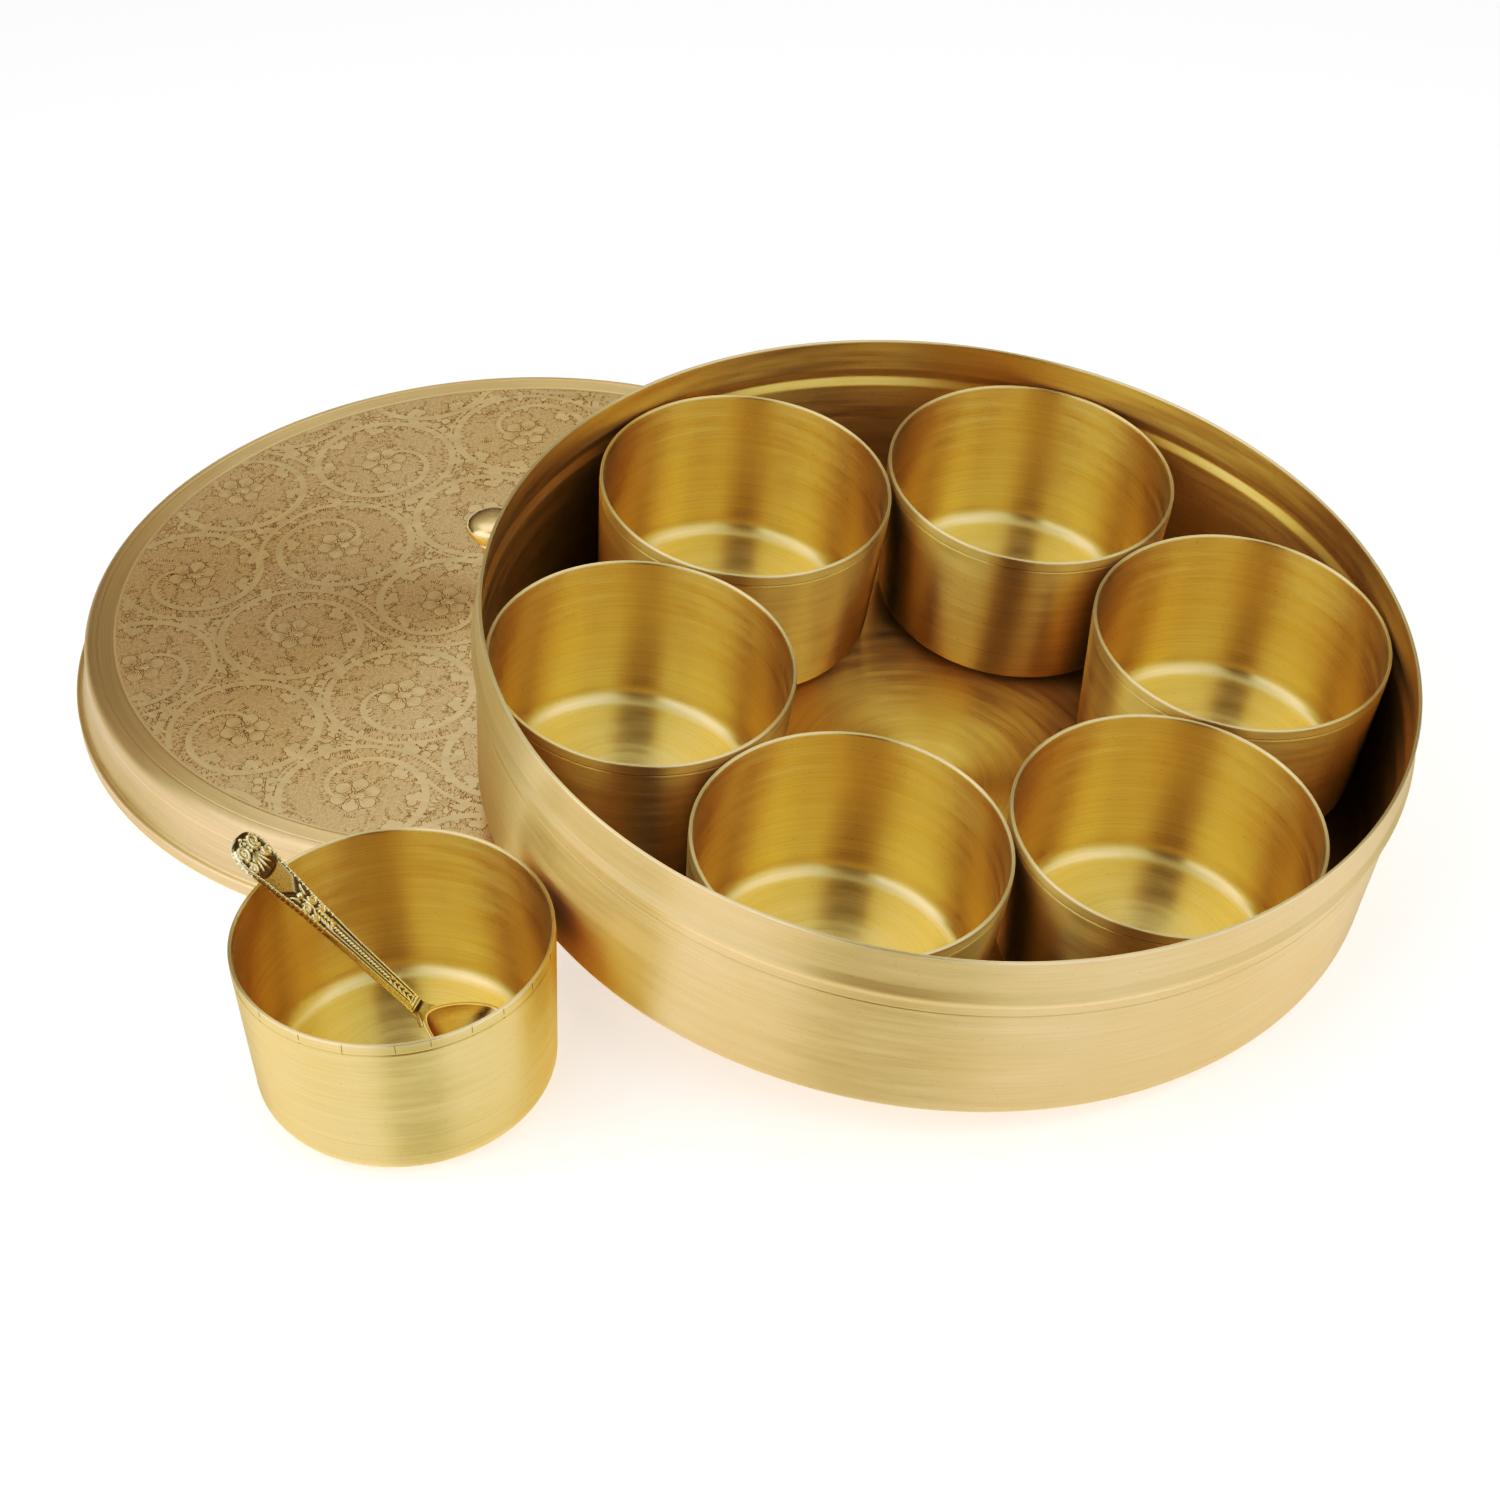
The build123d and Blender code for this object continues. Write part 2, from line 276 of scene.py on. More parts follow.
def makeBrassTone():
    tree, given, result = newTree(
        "ShaderNodeTree", "brassTone",
        [
            ("Pale", "Color", (0.9, 0.72, 0.36, 1)), ("Deep", "Color", (0.8, 0.6, 0.25, 1)),
            ("Speck", "Color", (0.2, 0.12, 0.04, 1)), ("Specks", "Float", 0.25),
        ],
        [("Color", "Color")],
    )
    where = addNode(tree, "ShaderNodeTexCoord").outputs["Object"]
    patches = mapRange(tree, noise(tree, where, toneNoise["patches"], 3.0), *toneNoise["patchRange"])
    specks = mapRange(tree, noise(tree, where, toneNoise["specks"], 1.0), *toneNoise["speckRange"])
    tone = mixColor(tree, patches, given["Pale"], given["Deep"])
    share = product(tree, specks, given["Specks"])
    tree.links.new(mixColor(tree, share, tone, given["Speck"]), result["Color"])
    return tree


turnedGrain = makeTurnedGrain()
brassTone = makeBrassTone()


def placeGroup(tree, group, **values):
    node = tree.nodes.new("ShaderNodeGroup")
    node.node_tree = group
    for label, value in values.items():
        node.inputs[label].default_value = value
    return node.outputs


def brassColor(tree, look):
    colors = dict(Pale=(*look["pale"], 1), Deep=(*look["deep"], 1))
    return placeGroup(tree, brassTone, Specks=look["specks"], **colors)["Color"]


def setBump(tree, surface, height, strength, depth):
    bump = addNode(tree, "ShaderNodeBump", {"Strength": strength, "Distance": depth, "Height": height})
    tree.links.new(bump.outputs["Normal"], surface.inputs["Normal"])


def setTangent(tree, surface):
    along = addNode(tree, "ShaderNodeTangent", direction_type="UV_MAP", uv_map="turnedMap")
    tree.links.new(along.outputs["Tangent"], surface.inputs["Tangent"])


# Turned brass. Edge colour brightens the worn sharp edges, where the outline's mark is 1, and groove
# colour is painted shade in the scribed lines, where it is -1; shade is the grain's darkest share of
# the colour, and stretch is how far a highlight is drawn out across the grain.
# The ranges are the parts of the noise that are spread over the shade and over the roughness.
outerLook = dict(
    pale=(0.965, 0.74, 0.395), deep=(0.94, 0.69, 0.345), edge=(0.99, 0.82, 0.50), grooveShade=(0.20, 0.13, 0.05),
    specks=0.2, fine=2600, broad=420, grainRange=(0.35, 0.65), bandRange=(0.3, 0.7), shade=0.88,
    rough=0.46, uneven=0.05, bump=0.1, depth=0.00006, stretch=0.98,
)
innerLook = dict(
    outerLook, pale=(0.98, 0.82, 0.45), deep=(0.96, 0.77, 0.38), rough=0.33, bump=0.04, stretch=0.87,
)


def brushedBrass(name, look):
    finish, tree, surface = newMaterial(name, {"Metallic": 1.0, "Anisotropic": look["stretch"]})
    grain = placeGroup(tree, turnedGrain, Fine=look["fine"], Broad=look["broad"])
    shade = mapRange(tree, grain["Height"], *look["grainRange"], look["shade"], 1.0)
    brushed = scaleVector(tree, brassColor(tree, look), shade)
    # the outline's mark: 1 on worn edges, -1 in the scribed lines, whose groove colour is painted shade
    worn = addNode(tree, "ShaderNodeAttribute", attribute_name="worn").outputs["Fac"]
    bright = mixColor(tree, worn, brushed, look["edge"])
    grooveShaded = mixColor(tree, product(tree, worn, -1.0), bright, look["grooveShade"])
    tree.links.new(grooveShaded, surface.inputs["Base Color"])
    least, most = look["rough"] - look["uneven"], look["rough"] + look["uneven"]
    rough = mapRange(tree, grain["Bands"], *look["bandRange"], least, most)
    tree.links.new(rough, surface.inputs["Roughness"])
    setBump(tree, surface, grain["Height"], look["bump"], look["depth"])
    setTangent(tree, surface)
    return finish


outerBrass = brushedBrass("outerBrass", outerLook)
innerBrass = brushedBrass("innerBrass", innerLook)


# Turned pieces
def turnedAxes(axis):
    # a turned piece's own axes as rows, with its seam at the back
    up = Vector(axis).normalized()
    side = Vector((0, 1, 0)).cross(up).normalized()
    return Matrix((up.cross(side), -side, up))


def seatOf(node, axis=upright):
    # the place of a turned piece: the middle of its foot, and its axes
    toLocal = turnedAxes(axis)
    points = [toLocal @ v.co for v in frame["nodes"][node].data.vertices]
    middle = [(min(p[i] for p in points) + max(p[i] for p in points)) / 2 for i in (0, 1)]
    foot = Vector((*middle, min(p[2] for p in points)))
    toWorld = toLocal.transposed()
    return Matrix.Translation(toWorld @ foot) @ toWorld.to_4x4()


def roundedOutline(corners, closed=False, degreesEach=12, support=0.3):
    # corners are (radius, level), (radius, level, rounding) or (radius, level, 0, mark);
    # straight runs get a point near each end; the mark is 1 on a bright worn edge and -1 in a groove
    # painted dark as shade; a rounding under half a millimetre is a bright worn edge too
    count = len(corners)
    points = []
    for i, corner in enumerate(corners):
        here = Vector(corner[:2])
        ends = not closed and i in (0, count - 1)
        rounding = corner[2] if len(corner) > 2 and not ends else 0
        wearAndShade = corner[3] if len(corner) > 3 else 0.0
        if ends:
            points.append((here, 0.0))
            continue
        before = Vector(corners[i - 1][:2]) - here
        after = Vector(corners[(i + 1) % count][:2]) - here
        gap = before.angle(after)
        reach = rounding / tan(gap / 2)
        start = here + before.normalized() * reach
        nearEnd = min(support, (before.length - reach) / 4)
        points.append((start + before.normalized() * nearEnd, 0.0))
        if rounding:
            inward = (before.normalized() + after.normalized()).normalized()
            middle = here + inward * rounding / sin(gap / 2)
            spoke = start - middle
            turn = pi - gap
            way = 1 if before.x * after.y - before.y * after.x < 0 else -1
            steps = max(2, ceil(turn / radians(degreesEach)))
            for k in range(steps + 1):
                arm = Matrix.Rotation(way * turn * k / steps, 2) @ spoke
                points.append((middle + arm, 1.0 if rounding < 0.5 else 0.0))
        else:
            points.append((here, wearAndShade))
        leave = here + after.normalized() * reach
        nearEnd = min(support, (after.length - reach) / 4)
        points.append((leave + after.normalized() * nearEnd, 0.0))
    if closed:
        points.append(points[0])
    return points


# What an outline's points carry over to the surface: their way along it, their edge wear and painted
# groove shade, and whether they are inside or etched
outlineMarks = ("along", "worn", "inside", "etched")


def outlineMesh(name, points, isInside, isEtched):
    places = [(p.x * mm, 0, p.y * mm) for p, _ in points]
    mesh = bpy.data.meshes.new(name)
    mesh.from_pydata(places, [(i, i + 1) for i in range(len(points) - 1)], [])
    way = 0.0
    values = {mark: [] for mark in outlineMarks}
    for i, (p, edge) in enumerate(points):
        way += (p - points[i - 1][0]).length * mm if i else 0.0
        for mark, value in zip(outlineMarks, (way, edge, isInside(i, p), isEtched(i, p))):
            values[mark].append(value)
    for mark in outlineMarks:
        mesh.attributes.new(mark, "FLOAT", "POINT").data.foreach_set("value", values[mark])
    return mesh


# Helpers for the trees that build shapes
def readMark(tree, name):
    sources = {"Name": name}
    return addNode(tree, "GeometryNodeInputNamedAttribute", sources, data_type="FLOAT").outputs["Attribute"]


def storeMark(tree, shape, name, value, kind="FLOAT", domain="POINT"):
    sources = {"Geometry": shape, "Name": name, "Value": value}
    return addNode(
        tree, "GeometryNodeStoreNamedAttribute", sources, data_type=kind, domain=domain,
    ).outputs[0]


def storeGrain(tree, shape, x, y, along, share):
    # the turned map runs along the profile and round the axis, and the grain reads "turned"
    mapped = storeMark(tree, shape, "turnedMap", joinVector(tree, along, share), "FLOAT2", "CORNER")
    return storeMark(tree, mapped, "turned", joinVector(tree, x, y, along), "FLOAT_VECTOR")


def setFinish(tree, shape, finish, chosen=True):
    sources = {"Geometry": shape, "Selection": chosen, "Material": finish}
    return addNode(tree, "GeometryNodeSetMaterial", sources).outputs[0]


def ownPlace(tree):
    return addNode(tree, "GeometryNodeInputPosition").outputs[0]


def makeTurningTree():
    # a grid is wrapped round the axis: across it runs the outline, along it the turn
    tree, given, result = newTree(
        "GeometryNodeTree", "turnedPiece",
        [
            ("Outline", "Geometry"), ("Turns", "Int"),
            ("Finish", "Material"), ("Inside Finish", "Material"), ("Etched Finish", "Material"),
        ],
        [("Piece", "Geometry")],
    )
    outline = given["Outline"]
    count = addNode(tree, "GeometryNodeAttributeDomainSize", {0: outline}).outputs["Point Count"]
    columns = mathNode(tree, "ADD", given["Turns"], 1.0)
    size = {"Size X": 1.0, "Size Y": 1.0, "Vertices X": columns, "Vertices Y": count}
    grid = addNode(tree, "GeometryNodeMeshGrid", size).outputs["Mesh"]
    gridX, gridY, _ = splitVector(tree, ownPlace(tree))
    share = mathNode(tree, "ADD", gridX, 0.5)
    angle = product(tree, share, 2 * pi)
    rows = mathNode(tree, "SUBTRACT", count, 1.0)
    row = mathNode(tree, "ROUND", product(tree, mathNode(tree, "ADD", gridY, 0.5), rows))
    sampled = {}
    for name in ("place", *outlineMarks):
        isPlace = name == "place"
        pick = addNode(
            tree, "GeometryNodeSampleIndex", {"Geometry": outline, "Index": row},
            data_type="FLOAT_VECTOR" if isPlace else "FLOAT",
        )
        tree.links.new(ownPlace(tree) if isPlace else readMark(tree, name), pick.inputs["Value"])
        sampled[name] = pick.outputs["Value"]
    radius, _, level = splitVector(tree, sampled["place"])
    x = product(tree, radius, mathNode(tree, "COSINE", angle))
    y = product(tree, radius, mathNode(tree, "SINE", angle))
    shape = storeGrain(tree, grid, x, y, sampled["along"], share)
    for mark in ("worn", "inside", "etched"):
        shape = storeMark(tree, shape, mark, sampled[mark])
    wrapped = {"Geometry": shape, "Position": joinVector(tree, x, y, level)}
    shape = addNode(tree, "GeometryNodeSetPosition", wrapped).outputs[0]
    shape = addNode(tree, "GeometryNodeMergeByDistance", {"Geometry": shape, "Distance": 1e-6}).outputs[0]
    shape = addNode(tree, "GeometryNodeSetShadeSmooth", {"Geometry": shape}).outputs[0]
    shape = addNode(tree, "GeometryNodeRealizeInstances", {"Geometry": shape}).outputs[0]
    shape = setFinish(tree, shape, given["Finish"])
    for mark, finish in (("inside", "Inside Finish"), ("etched", "Etched Finish")):
        chosen = mathNode(tree, "GREATER_THAN", readMark(tree, mark), 0.6)
        shape = setFinish(tree, shape, given[finish], chosen)
    tree.links.new(shape, result[0])
    return tree


turningTree = makeTurningTree()


def bakeTree(name, mesh, tree, seat, values):
    # runs a tree on a mesh or a curve, and leaves a plain mesh at its seat, with the materials it uses
    holder = addObject(name + "Draft", mesh)
    modifier = holder.modifiers.new("build", "NODES")
    modifier.node_group = tree
    for item in tree.interface.items_tree:
        if item.in_out == "INPUT" and item.name in values:
            modifier[item.identifier] = values[item.name]
    shown = holder.evaluated_get(bpy.context.evaluated_depsgraph_get())
    plain = bpy.data.meshes.new_from_object(shown)
    holder.modifiers.remove(modifier)
    bpy.data.objects.remove(holder)
    plain.name = name
    plain.transform(seat)
    used = sorted({face.material_index for face in plain.polygons})
    finishes = [plain.materials[i] for i in used]
    places = [used.index(face.material_index) for face in plain.polygons]
    plain.materials.clear()
    for finish in finishes:
        plain.materials.append(finish)
    plain.polygons.foreach_set("material_index", places)
    return addObject(name, plain)


def turnPiece(name, points, seat, finishes, body, node, turns=192, etchedLevel=None):
    # finishes are those of the outside, of the inside and, with an etched level, of that level;
    # the inside starts past the inner corner of the rim, the last of the highest points
    highest = max(p.y for p, _ in points)
    turnOver = max(i for i, (p, _) in enumerate(points) if p.y > highest - 0.35)
    mesh = outlineMesh(
        name + "Outline", points,
        lambda i, p: float(i > turnOver),
        lambda i, p: float(etchedLevel is not None and abs(p.y - etchedLevel) < 1e-4),
    )
    values = {
        "Turns": turns, "Finish": finishes[0], "Inside Finish": finishes[1], "Etched Finish": finishes[-1],
    }
    piece = bakeTree(name, mesh, turningTree, seat, values)
    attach(piece, body)
    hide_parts(node)


def scribed(radius, level, slope, depth=0.16, half=0.22):
    # a fine turned line cut into an outer wall; slope is the radius gained per millimetre of level
    return [
        (radius - half * slope, level - half),
        # the bottom of the line is painted dark as shade
        (radius - depth, level, 0, -1.0),
        (radius + half * slope, level + half),
    ]


# Bowls, seven alike; the six in the box stand on its leaning floor
bowlSize = dict(
    rimRadius=38.0, height=44.0, draft=2.5, cornerRadius=6.5, innerCorner=4.4, wall=0.9, rimRound=0.3,
    lineBelowRim=3.0, lineDepth=0.26, lineHalf=0.27, rimDrawnIn=0.16,
)


def bowlOutline():
    s = bowlSize
    foot = s["rimRadius"] - s["draft"]
    slope = s["draft"] / s["height"]
    lineLevel = s["height"] - s["lineBelowRim"]
    rim = s["rimRadius"] - s["rimDrawnIn"]
    return roundedOutline([
        (0, 0),
        (foot, 0, s["cornerRadius"]),
        *scribed(foot + slope * lineLevel, lineLevel, slope, s["lineDepth"], s["lineHalf"]),
        (rim, s["height"], s["rimRound"]),
        (rim - s["wall"], s["height"], s["rimRound"]),
        (foot - s["wall"], s["wall"], s["innerCorner"]),
        (0, s["wall"]),
    ], degreesEach=8)


bowlLook = dict(outerLook, pale=(0.98, 0.775, 0.36), deep=(0.95, 0.72, 0.31))
bowlBrass = brushedBrass("bowlBrass", bowlLook)
boxAxis = Vector(next(j["axis"] for j in frame["joints"] if j["name"] == "bowl_1_lift"))
for number in range(1, 8):
    node = "bowl_%d" % number
    seat = seatOf(node, boxAxis if number < 7 else upright)
    turnPiece(
        "turnedBowl%d" % number, bowlOutline(), seat, (bowlBrass, innerBrass), node, node,
    )
print("seven bowls")


# Box
boxSize = dict(
    height=53.3, wall=0.9, rimRadius=115.8, collarRadius=117.15, shoulderRadius=115.8, baseRadius=113.6,
    beadRadius=116.1, beadTop=9.6, beadMiddle=12.4, stepLevel=14.7, beadRound=1.1, stepRound=1.5,
    cornerRadius=2.5, rimRound=0.3, lineBelowStep=1.2,
)


def boxOutline():
    s = boxSize
    top, bead, step = (s["height"] - s[drop] for drop in ("beadTop", "beadMiddle", "stepLevel"))
    wall = s["wall"]
    slope = (s["shoulderRadius"] - s["baseRadius"]) / step
    drop = s["lineBelowStep"] + s["stepRound"]
    return roundedOutline([
        (0, 0),
        (s["baseRadius"], 0, s["cornerRadius"]),
        *scribed(s["shoulderRadius"] - slope * drop, step - drop, slope),
        (s["shoulderRadius"], step, s["stepRound"]),
        (s["collarRadius"], bead, s["beadRound"]),
        (s["beadRadius"], top, s["stepRound"]),
        (s["rimRadius"], s["height"], s["rimRound"]),
        (s["rimRadius"] - wall, s["height"], s["rimRound"]),
        (s["beadRadius"] - wall, top, s["stepRound"]),
        (s["collarRadius"] - wall, bead, s["beadRound"]),
        (s["shoulderRadius"] - wall, step, s["stepRound"]),
        (s["baseRadius"] - wall, wall, s["cornerRadius"] - wall),
        (0, wall),
    ])


boxInnerLook = dict(innerLook, pale=(0.99, 0.77, 0.34), deep=(0.97, 0.72, 0.27), rough=0.37, stretch=0.93)
boxInnerBrass = brushedBrass("boxInnerBrass", boxInnerLook)
turnPiece(
    "turnedBox", boxOutline(), seatOf("box_body", boxAxis), (outerBrass, boxInnerBrass), "box",
    "box_body", turns=320,
)
print("box")


# Lid. The etched ground of its top has patches of short hatch strokes, each patch its own way.
groundLook = dict(
    pale=(0.93, 0.68, 0.41), deep=(0.89, 0.63, 0.35), specks=0.3, patch=330.0, strokes=2300.0, longer=0.3,
    cutRange=(0.42, 0.58), shade=0.82, rough=0.44, bump=0.1, depth=0.00008, stretch=0.55,
)


def etchedGround(name, look):
    finish, tree, surface = newMaterial(
        name, {"Metallic": 1.0, "Roughness": look["rough"], "Anisotropic": look["stretch"]},
    )
    where = addNode(tree, "ShaderNodeTexCoord").outputs["Object"]
    cells = addNode(tree, "ShaderNodeTexVoronoi", {"Vector": where, "Scale": look["patch"]})
    way = product(tree, splitVector(tree, cells.outputs["Color"])["X"], pi)
    sources = {"Vector": where, "Angle": way}
    turned = addNode(tree, "ShaderNodeVectorRotate", sources, rotation_type="Z_AXIS")
    drawn = scaleVector(tree, turned.outputs[0], (look["longer"], 1, 1))
    cut = mapRange(tree, noise(tree, drawn, look["strokes"], 1.0), *look["cutRange"])
    shade = mapRange(tree, cut, toLow=look["shade"])
    tree.links.new(scaleVector(tree, brassColor(tree, look), shade), surface.inputs["Base Color"])
    setBump(tree, surface, cut, look["bump"], look["depth"])
    setTangent(tree, surface)
    return finish


groundBrass = etchedGround("etchedGround", groundLook)
lidLook = dict(outerLook, pale=(0.98, 0.74, 0.45), deep=(0.96, 0.70, 0.39), rough=0.42, stretch=0.6)
borderLook = dict(lidLook, pale=(0.93, 0.70, 0.395), deep=(0.90, 0.65, 0.345), rough=0.46, stretch=0.86)
lidBrass = brushedBrass("lidBrass", lidLook)
borderBrass = brushedBrass("borderBrass", borderLook)

lidSize = dict(
    height=19.2, wall=0.9, footRadius=117.0, footHeight=4.0, coveRadius=115.6, skirtRadius=113.2,
    skirtLevel=13.4, coveHollow=0.5, edgeRadius=112.9, shoulderRadius=3.0, screwHole=2.25, footRound=0.3,
    etchedRadius=105.0, etchDepth=0.05, etchStep=0.1, creaseRadius=109.4, creaseHalf=0.25,
    creaseDepth=0.12, coveRound=0.25, skirtRound=0.4, ledgeRound=0.2,
)


def archPoints(start, end, sagitta, steps=7):
    # points of a flat arc, without its ends; a positive sagitta bows to the right of the way
    a, b = Vector(start), Vector(end)
    side = Vector((b.y - a.y, a.x - b.x)).normalized()
    shares = [k / steps for k in range(1, steps)]
    return [tuple(a.lerp(b, t) + side * sagitta * 4 * t * (1 - t)) for t in shares]


def lidOutline():
    s = lidSize
    wall, top, crease = s["wall"], s["height"], s["creaseRadius"]
    inTop, ledge = top - wall, s["footHeight"] - wall
    cove = [(s["coveRadius"], s["footHeight"]), (s["skirtRadius"], s["skirtLevel"])]
    inCove = [(r - wall, z) for r, z in (cove[1], (cove[0][0], ledge))]
    return roundedOutline([
        (s["footRadius"] - wall, 0, s["footRound"]),
        (s["footRadius"], 0, s["footRound"]),
        (s["footRadius"], s["footHeight"], s["footRound"]),
        (*cove[0], s["coveRound"]),
        *archPoints(*cove, -s["coveHollow"]),
        (*cove[1], s["skirtRound"]),
        (s["edgeRadius"], top, s["shoulderRadius"]),
        (crease + s["creaseHalf"], top),
        (crease, top - s["creaseDepth"]),
        (crease - s["creaseHalf"], top),
        (s["etchedRadius"] + s["etchStep"], top),
        (s["etchedRadius"], top - s["etchDepth"]),
        (s["screwHole"], top - s["etchDepth"]),
        (s["screwHole"], inTop),
        (s["edgeRadius"] - wall, inTop, s["shoulderRadius"] - wall),
        (*inCove[0], s["skirtRound"]),
        *archPoints(*inCove, s["coveHollow"]),
        (*inCove[1], s["coveRound"]),
        (s["footRadius"] - wall, ledge, s["ledgeRound"]),
    ], closed=True)


lidSeat = seatOf("lid_shell")
etchedLevel = lidSize["height"] - lidSize["etchDepth"]
turnPiece(
    "turnedLid", lidOutline(), lidSeat, (borderBrass, innerBrass, groundBrass), "lid",
    "lid_shell", turns=320, etchedLevel=etchedLevel,
)
print("lid")


# Knob, screw and washer
knobSize = dict(
    boreRadius=2.05, boreDepth=7.0, footRadius=6.0, footHeight=1.2, stemRadius=3.4, flareHeight=5.0,
    collarLevel=19.0, collarRadius=5.0, collarHeight=0.8, neckRadius=4.5, capRadius=7.2, capLevel=23.6,
    capDrawn=0.4, capLift=1.2, height=26.8, footLand=0.7, collarLand=0.5,
    boreRound=0.15, edgeRound=0.25, footRound=0.3, neckRound=0.1,
)


def bowedPoints(start, control, end, steps):
    # points of a curve that leaves start towards control and reaches end from it, without its ends
    a, b, c = Vector(start), Vector(control), Vector(end)
    shares = [k / steps for k in range(1, steps)]
    return [tuple(a.lerp(b, t).lerp(b.lerp(c, t), t)) for t in shares]


def knobOutline():
    s = knobSize
    foot, stem, collar, cap = s["footRadius"], s["stemRadius"], s["collarRadius"], s["capRadius"]
    footTop, under, top, capLevel = s["footHeight"], s["collarLevel"], s["height"], s["capLevel"]
    collarTop = under + s["collarHeight"]
    # the stem is straight between two flares
    flareFoot = (foot - s["footLand"], footTop)
    flareTop = (stem, footTop + s["flareHeight"])
    swellFoot = (stem, under - s["flareHeight"])
    swellTop = (collar - s["collarLand"], under)
    neck = (s["neckRadius"], collarTop)
    return roundedOutline([
        (0, s["boreDepth"]),
        (s["boreRadius"], s["boreDepth"]),
        (s["boreRadius"], 0, s["boreRound"]),
        (foot, 0, s["edgeRound"]),
        (foot, footTop, s["footRound"]),
        flareFoot,
        *bowedPoints(flareFoot, (stem, footTop), flareTop, 7),
        flareTop,
        swellFoot,
        *bowedPoints(swellFoot, (stem, under), swellTop, 6),
        swellTop,
        (collar, under, s["edgeRound"]),
        (collar, collarTop, s["edgeRound"]),
        (*neck, s["neckRound"]),
        *bowedPoints(neck, (cap - s["capDrawn"], collarTop + s["capLift"]), (cap, capLevel), 5),
        (cap, capLevel),
        *bowedPoints((cap, capLevel), (cap, top), (0, top), 12),
        (0, top),
    ])


polishedLook = dict(outerLook, specks=0.1, shade=0.94, rough=0.26, bump=0.12, stretch=0.5)
polishedBrass = brushedBrass("polishedBrass", polishedLook)
turnPiece(
    "turnedKnob", knobOutline(), seatOf("lid_knob"), (polishedBrass, polishedBrass), "lid",
    "lid_knob", turns=96,
)

hardwareLook = dict(
    pale=(0.86, 0.68, 0.36), deep=(0.66, 0.48, 0.22), specks=0.5, grain=900.0, detail=4.0,
    brighter=0.08, duller=0.12, bump=0.3, depth=0.00005,
)


def mottledBrass(name, look):
    # brass that isn't brushed; a look may add painted shade and reflection where the mesh marks them
    finish, tree, surface = newMaterial(name, {"Metallic": 1.0})
    color = brassColor(tree, look)
    if "shadeAndReflection" in look:
        # painted shade in the ornament's hollows, and a painted dark reflection on the smooth shield
        hollow = addNode(tree, "ShaderNodeAttribute", attribute_name="shadeAndReflection").outputs["Fac"]
        color = mixColor(tree, mapRange(tree, hollow, *look["shadeAndReflectionRange"]), color, look["shadeAndReflection"])
    tree.links.new(color, surface.inputs["Base Color"])
    where = addNode(tree, "ShaderNodeTexCoord").outputs["Object"]
    grain = noise(tree, where, look["grain"], look["detail"])
    least, most = look["rough"] - look["brighter"], look["rough"] + look["duller"]
    tree.links.new(mapRange(tree, grain, toLow=least, toHigh=most), surface.inputs["Roughness"])
    setBump(tree, surface, grain, look["bump"], look["depth"])
    return finish


for node, name, rough in (("knob_washer", "washerBrass", 0.42), ("knob_screw", "screwBrass", 0.34)):
    finish = mottledBrass(name, dict(hardwareLook, rough=rough))
    frame["nodes"][node].material_slots[0].material = finish
print("knob")


# Etched ornament of the lid: scroll medallions on a slanted lattice, cut off by the border. The
# motifs are level with the plain border; the ground between them is cut away and hatched.
# Places are measured from the lid's middle.
etchSize = dict(
    pitch=42.1, first=(-45.4, 27.3), bearing=-103.07, border=104.0, knobClear=7.0, rise=0.05, bevel=0.17,
    strokeRise=0.012, veinRise=0.058, vine=2.1, seed=11,
)
# A medallion's scroll. Leaves stand on some of its steps, a gap apart; trefoils stand inside it
# between two numbers of turns, and outer leaves up to one. Leans are radians off the vine's way.
scrollSize = dict(
    outer=19.8, inner=5.2, turns=1.45, steps=170, leafSteps=(6, 156), hookReach=3.6, hookPart=0.14,
    leafGap=6.6, trefoilTurns=(0.46, 1.06), outerTurns=0.9, innerLean=0.9, outerLean=0.8,
    thinOff=1.9, thinWay=(1.4, 3.4), thinShare=0.34, petals=6, petalOff=1.3, veinOff=2.3, heart=2.7,
)


def flatShape(name, rings):
    # a closed low solid: rings are loops of points from the foot upwards
    bm = bmesh.new()
    loops = [[bm.verts.new((x * mm, y * mm, z * mm)) for x, y, z in ring] for ring in rings]
    for a, b in zip(loops, loops[1:]):
        for k in range(len(a)):
            j = (k + 1) % len(a)
            bm.faces.new((a[k], a[j], b[j], b[k]))
    bm.faces.new(loops[-1])
    bm.faces.new(reversed(loops[0]))
    mesh = bpy.data.meshes.new(name)
    bm.to_mesh(mesh)
    bm.free()
    return bpy.data.objects.new(name, mesh)


def bentRings(length, width, bend, rise, points=7, head=0.62):
    # a drop-shaped leaf that starts at the origin, widest near its head, and bends as it goes
    spot, way = Vector((0, 0)), radians(-bend / 2)
    left, right = [], []
    for k in range(points + 1):
        t = k / points
        half = width / 2 * sin(pi * t ** (log(0.5) / log(head))) ** 0.7
        side = Vector((-sin(way), cos(way)))
        left.append(spot + side * half)
        right.append(spot - side * half)
        way += radians(bend) / points
        spot = spot + Vector((cos(way), sin(way))) * length / points
    outline = right + left[-2:0:-1]
    middle = sum(outline, Vector((0, 0))) / len(outline)
    top = []
    for p in outline:
        inward = middle - p
        top.append((*(p + inward.normalized() * min(etchSize["bevel"], inward.length * 0.4)), rise))
    return [[(p.x, p.y, 0.0) for p in outline], top]


def sliver(length, width, rise):
    # a graver's stroke, broad where it starts
    half = width / 2
    foot = [(0, -half, 0), (length, 0, 0), (0, half, 0)]
    top = [(0.02, -half * 0.8, rise), (length * 0.94, 0, rise), (0.02, half * 0.8, rise)]
    return [foot, top]


def ray(angle, length=1.0):
    return Vector((cos(angle), sin(angle))) * length


def arcPoints(middle, radius, start, end, step=0.9):
    count = max(4, ceil(abs(end - start) * radius / step))
    return [middle + ray(start + (end - start) * k / count, radius) for k in range(count + 1)]


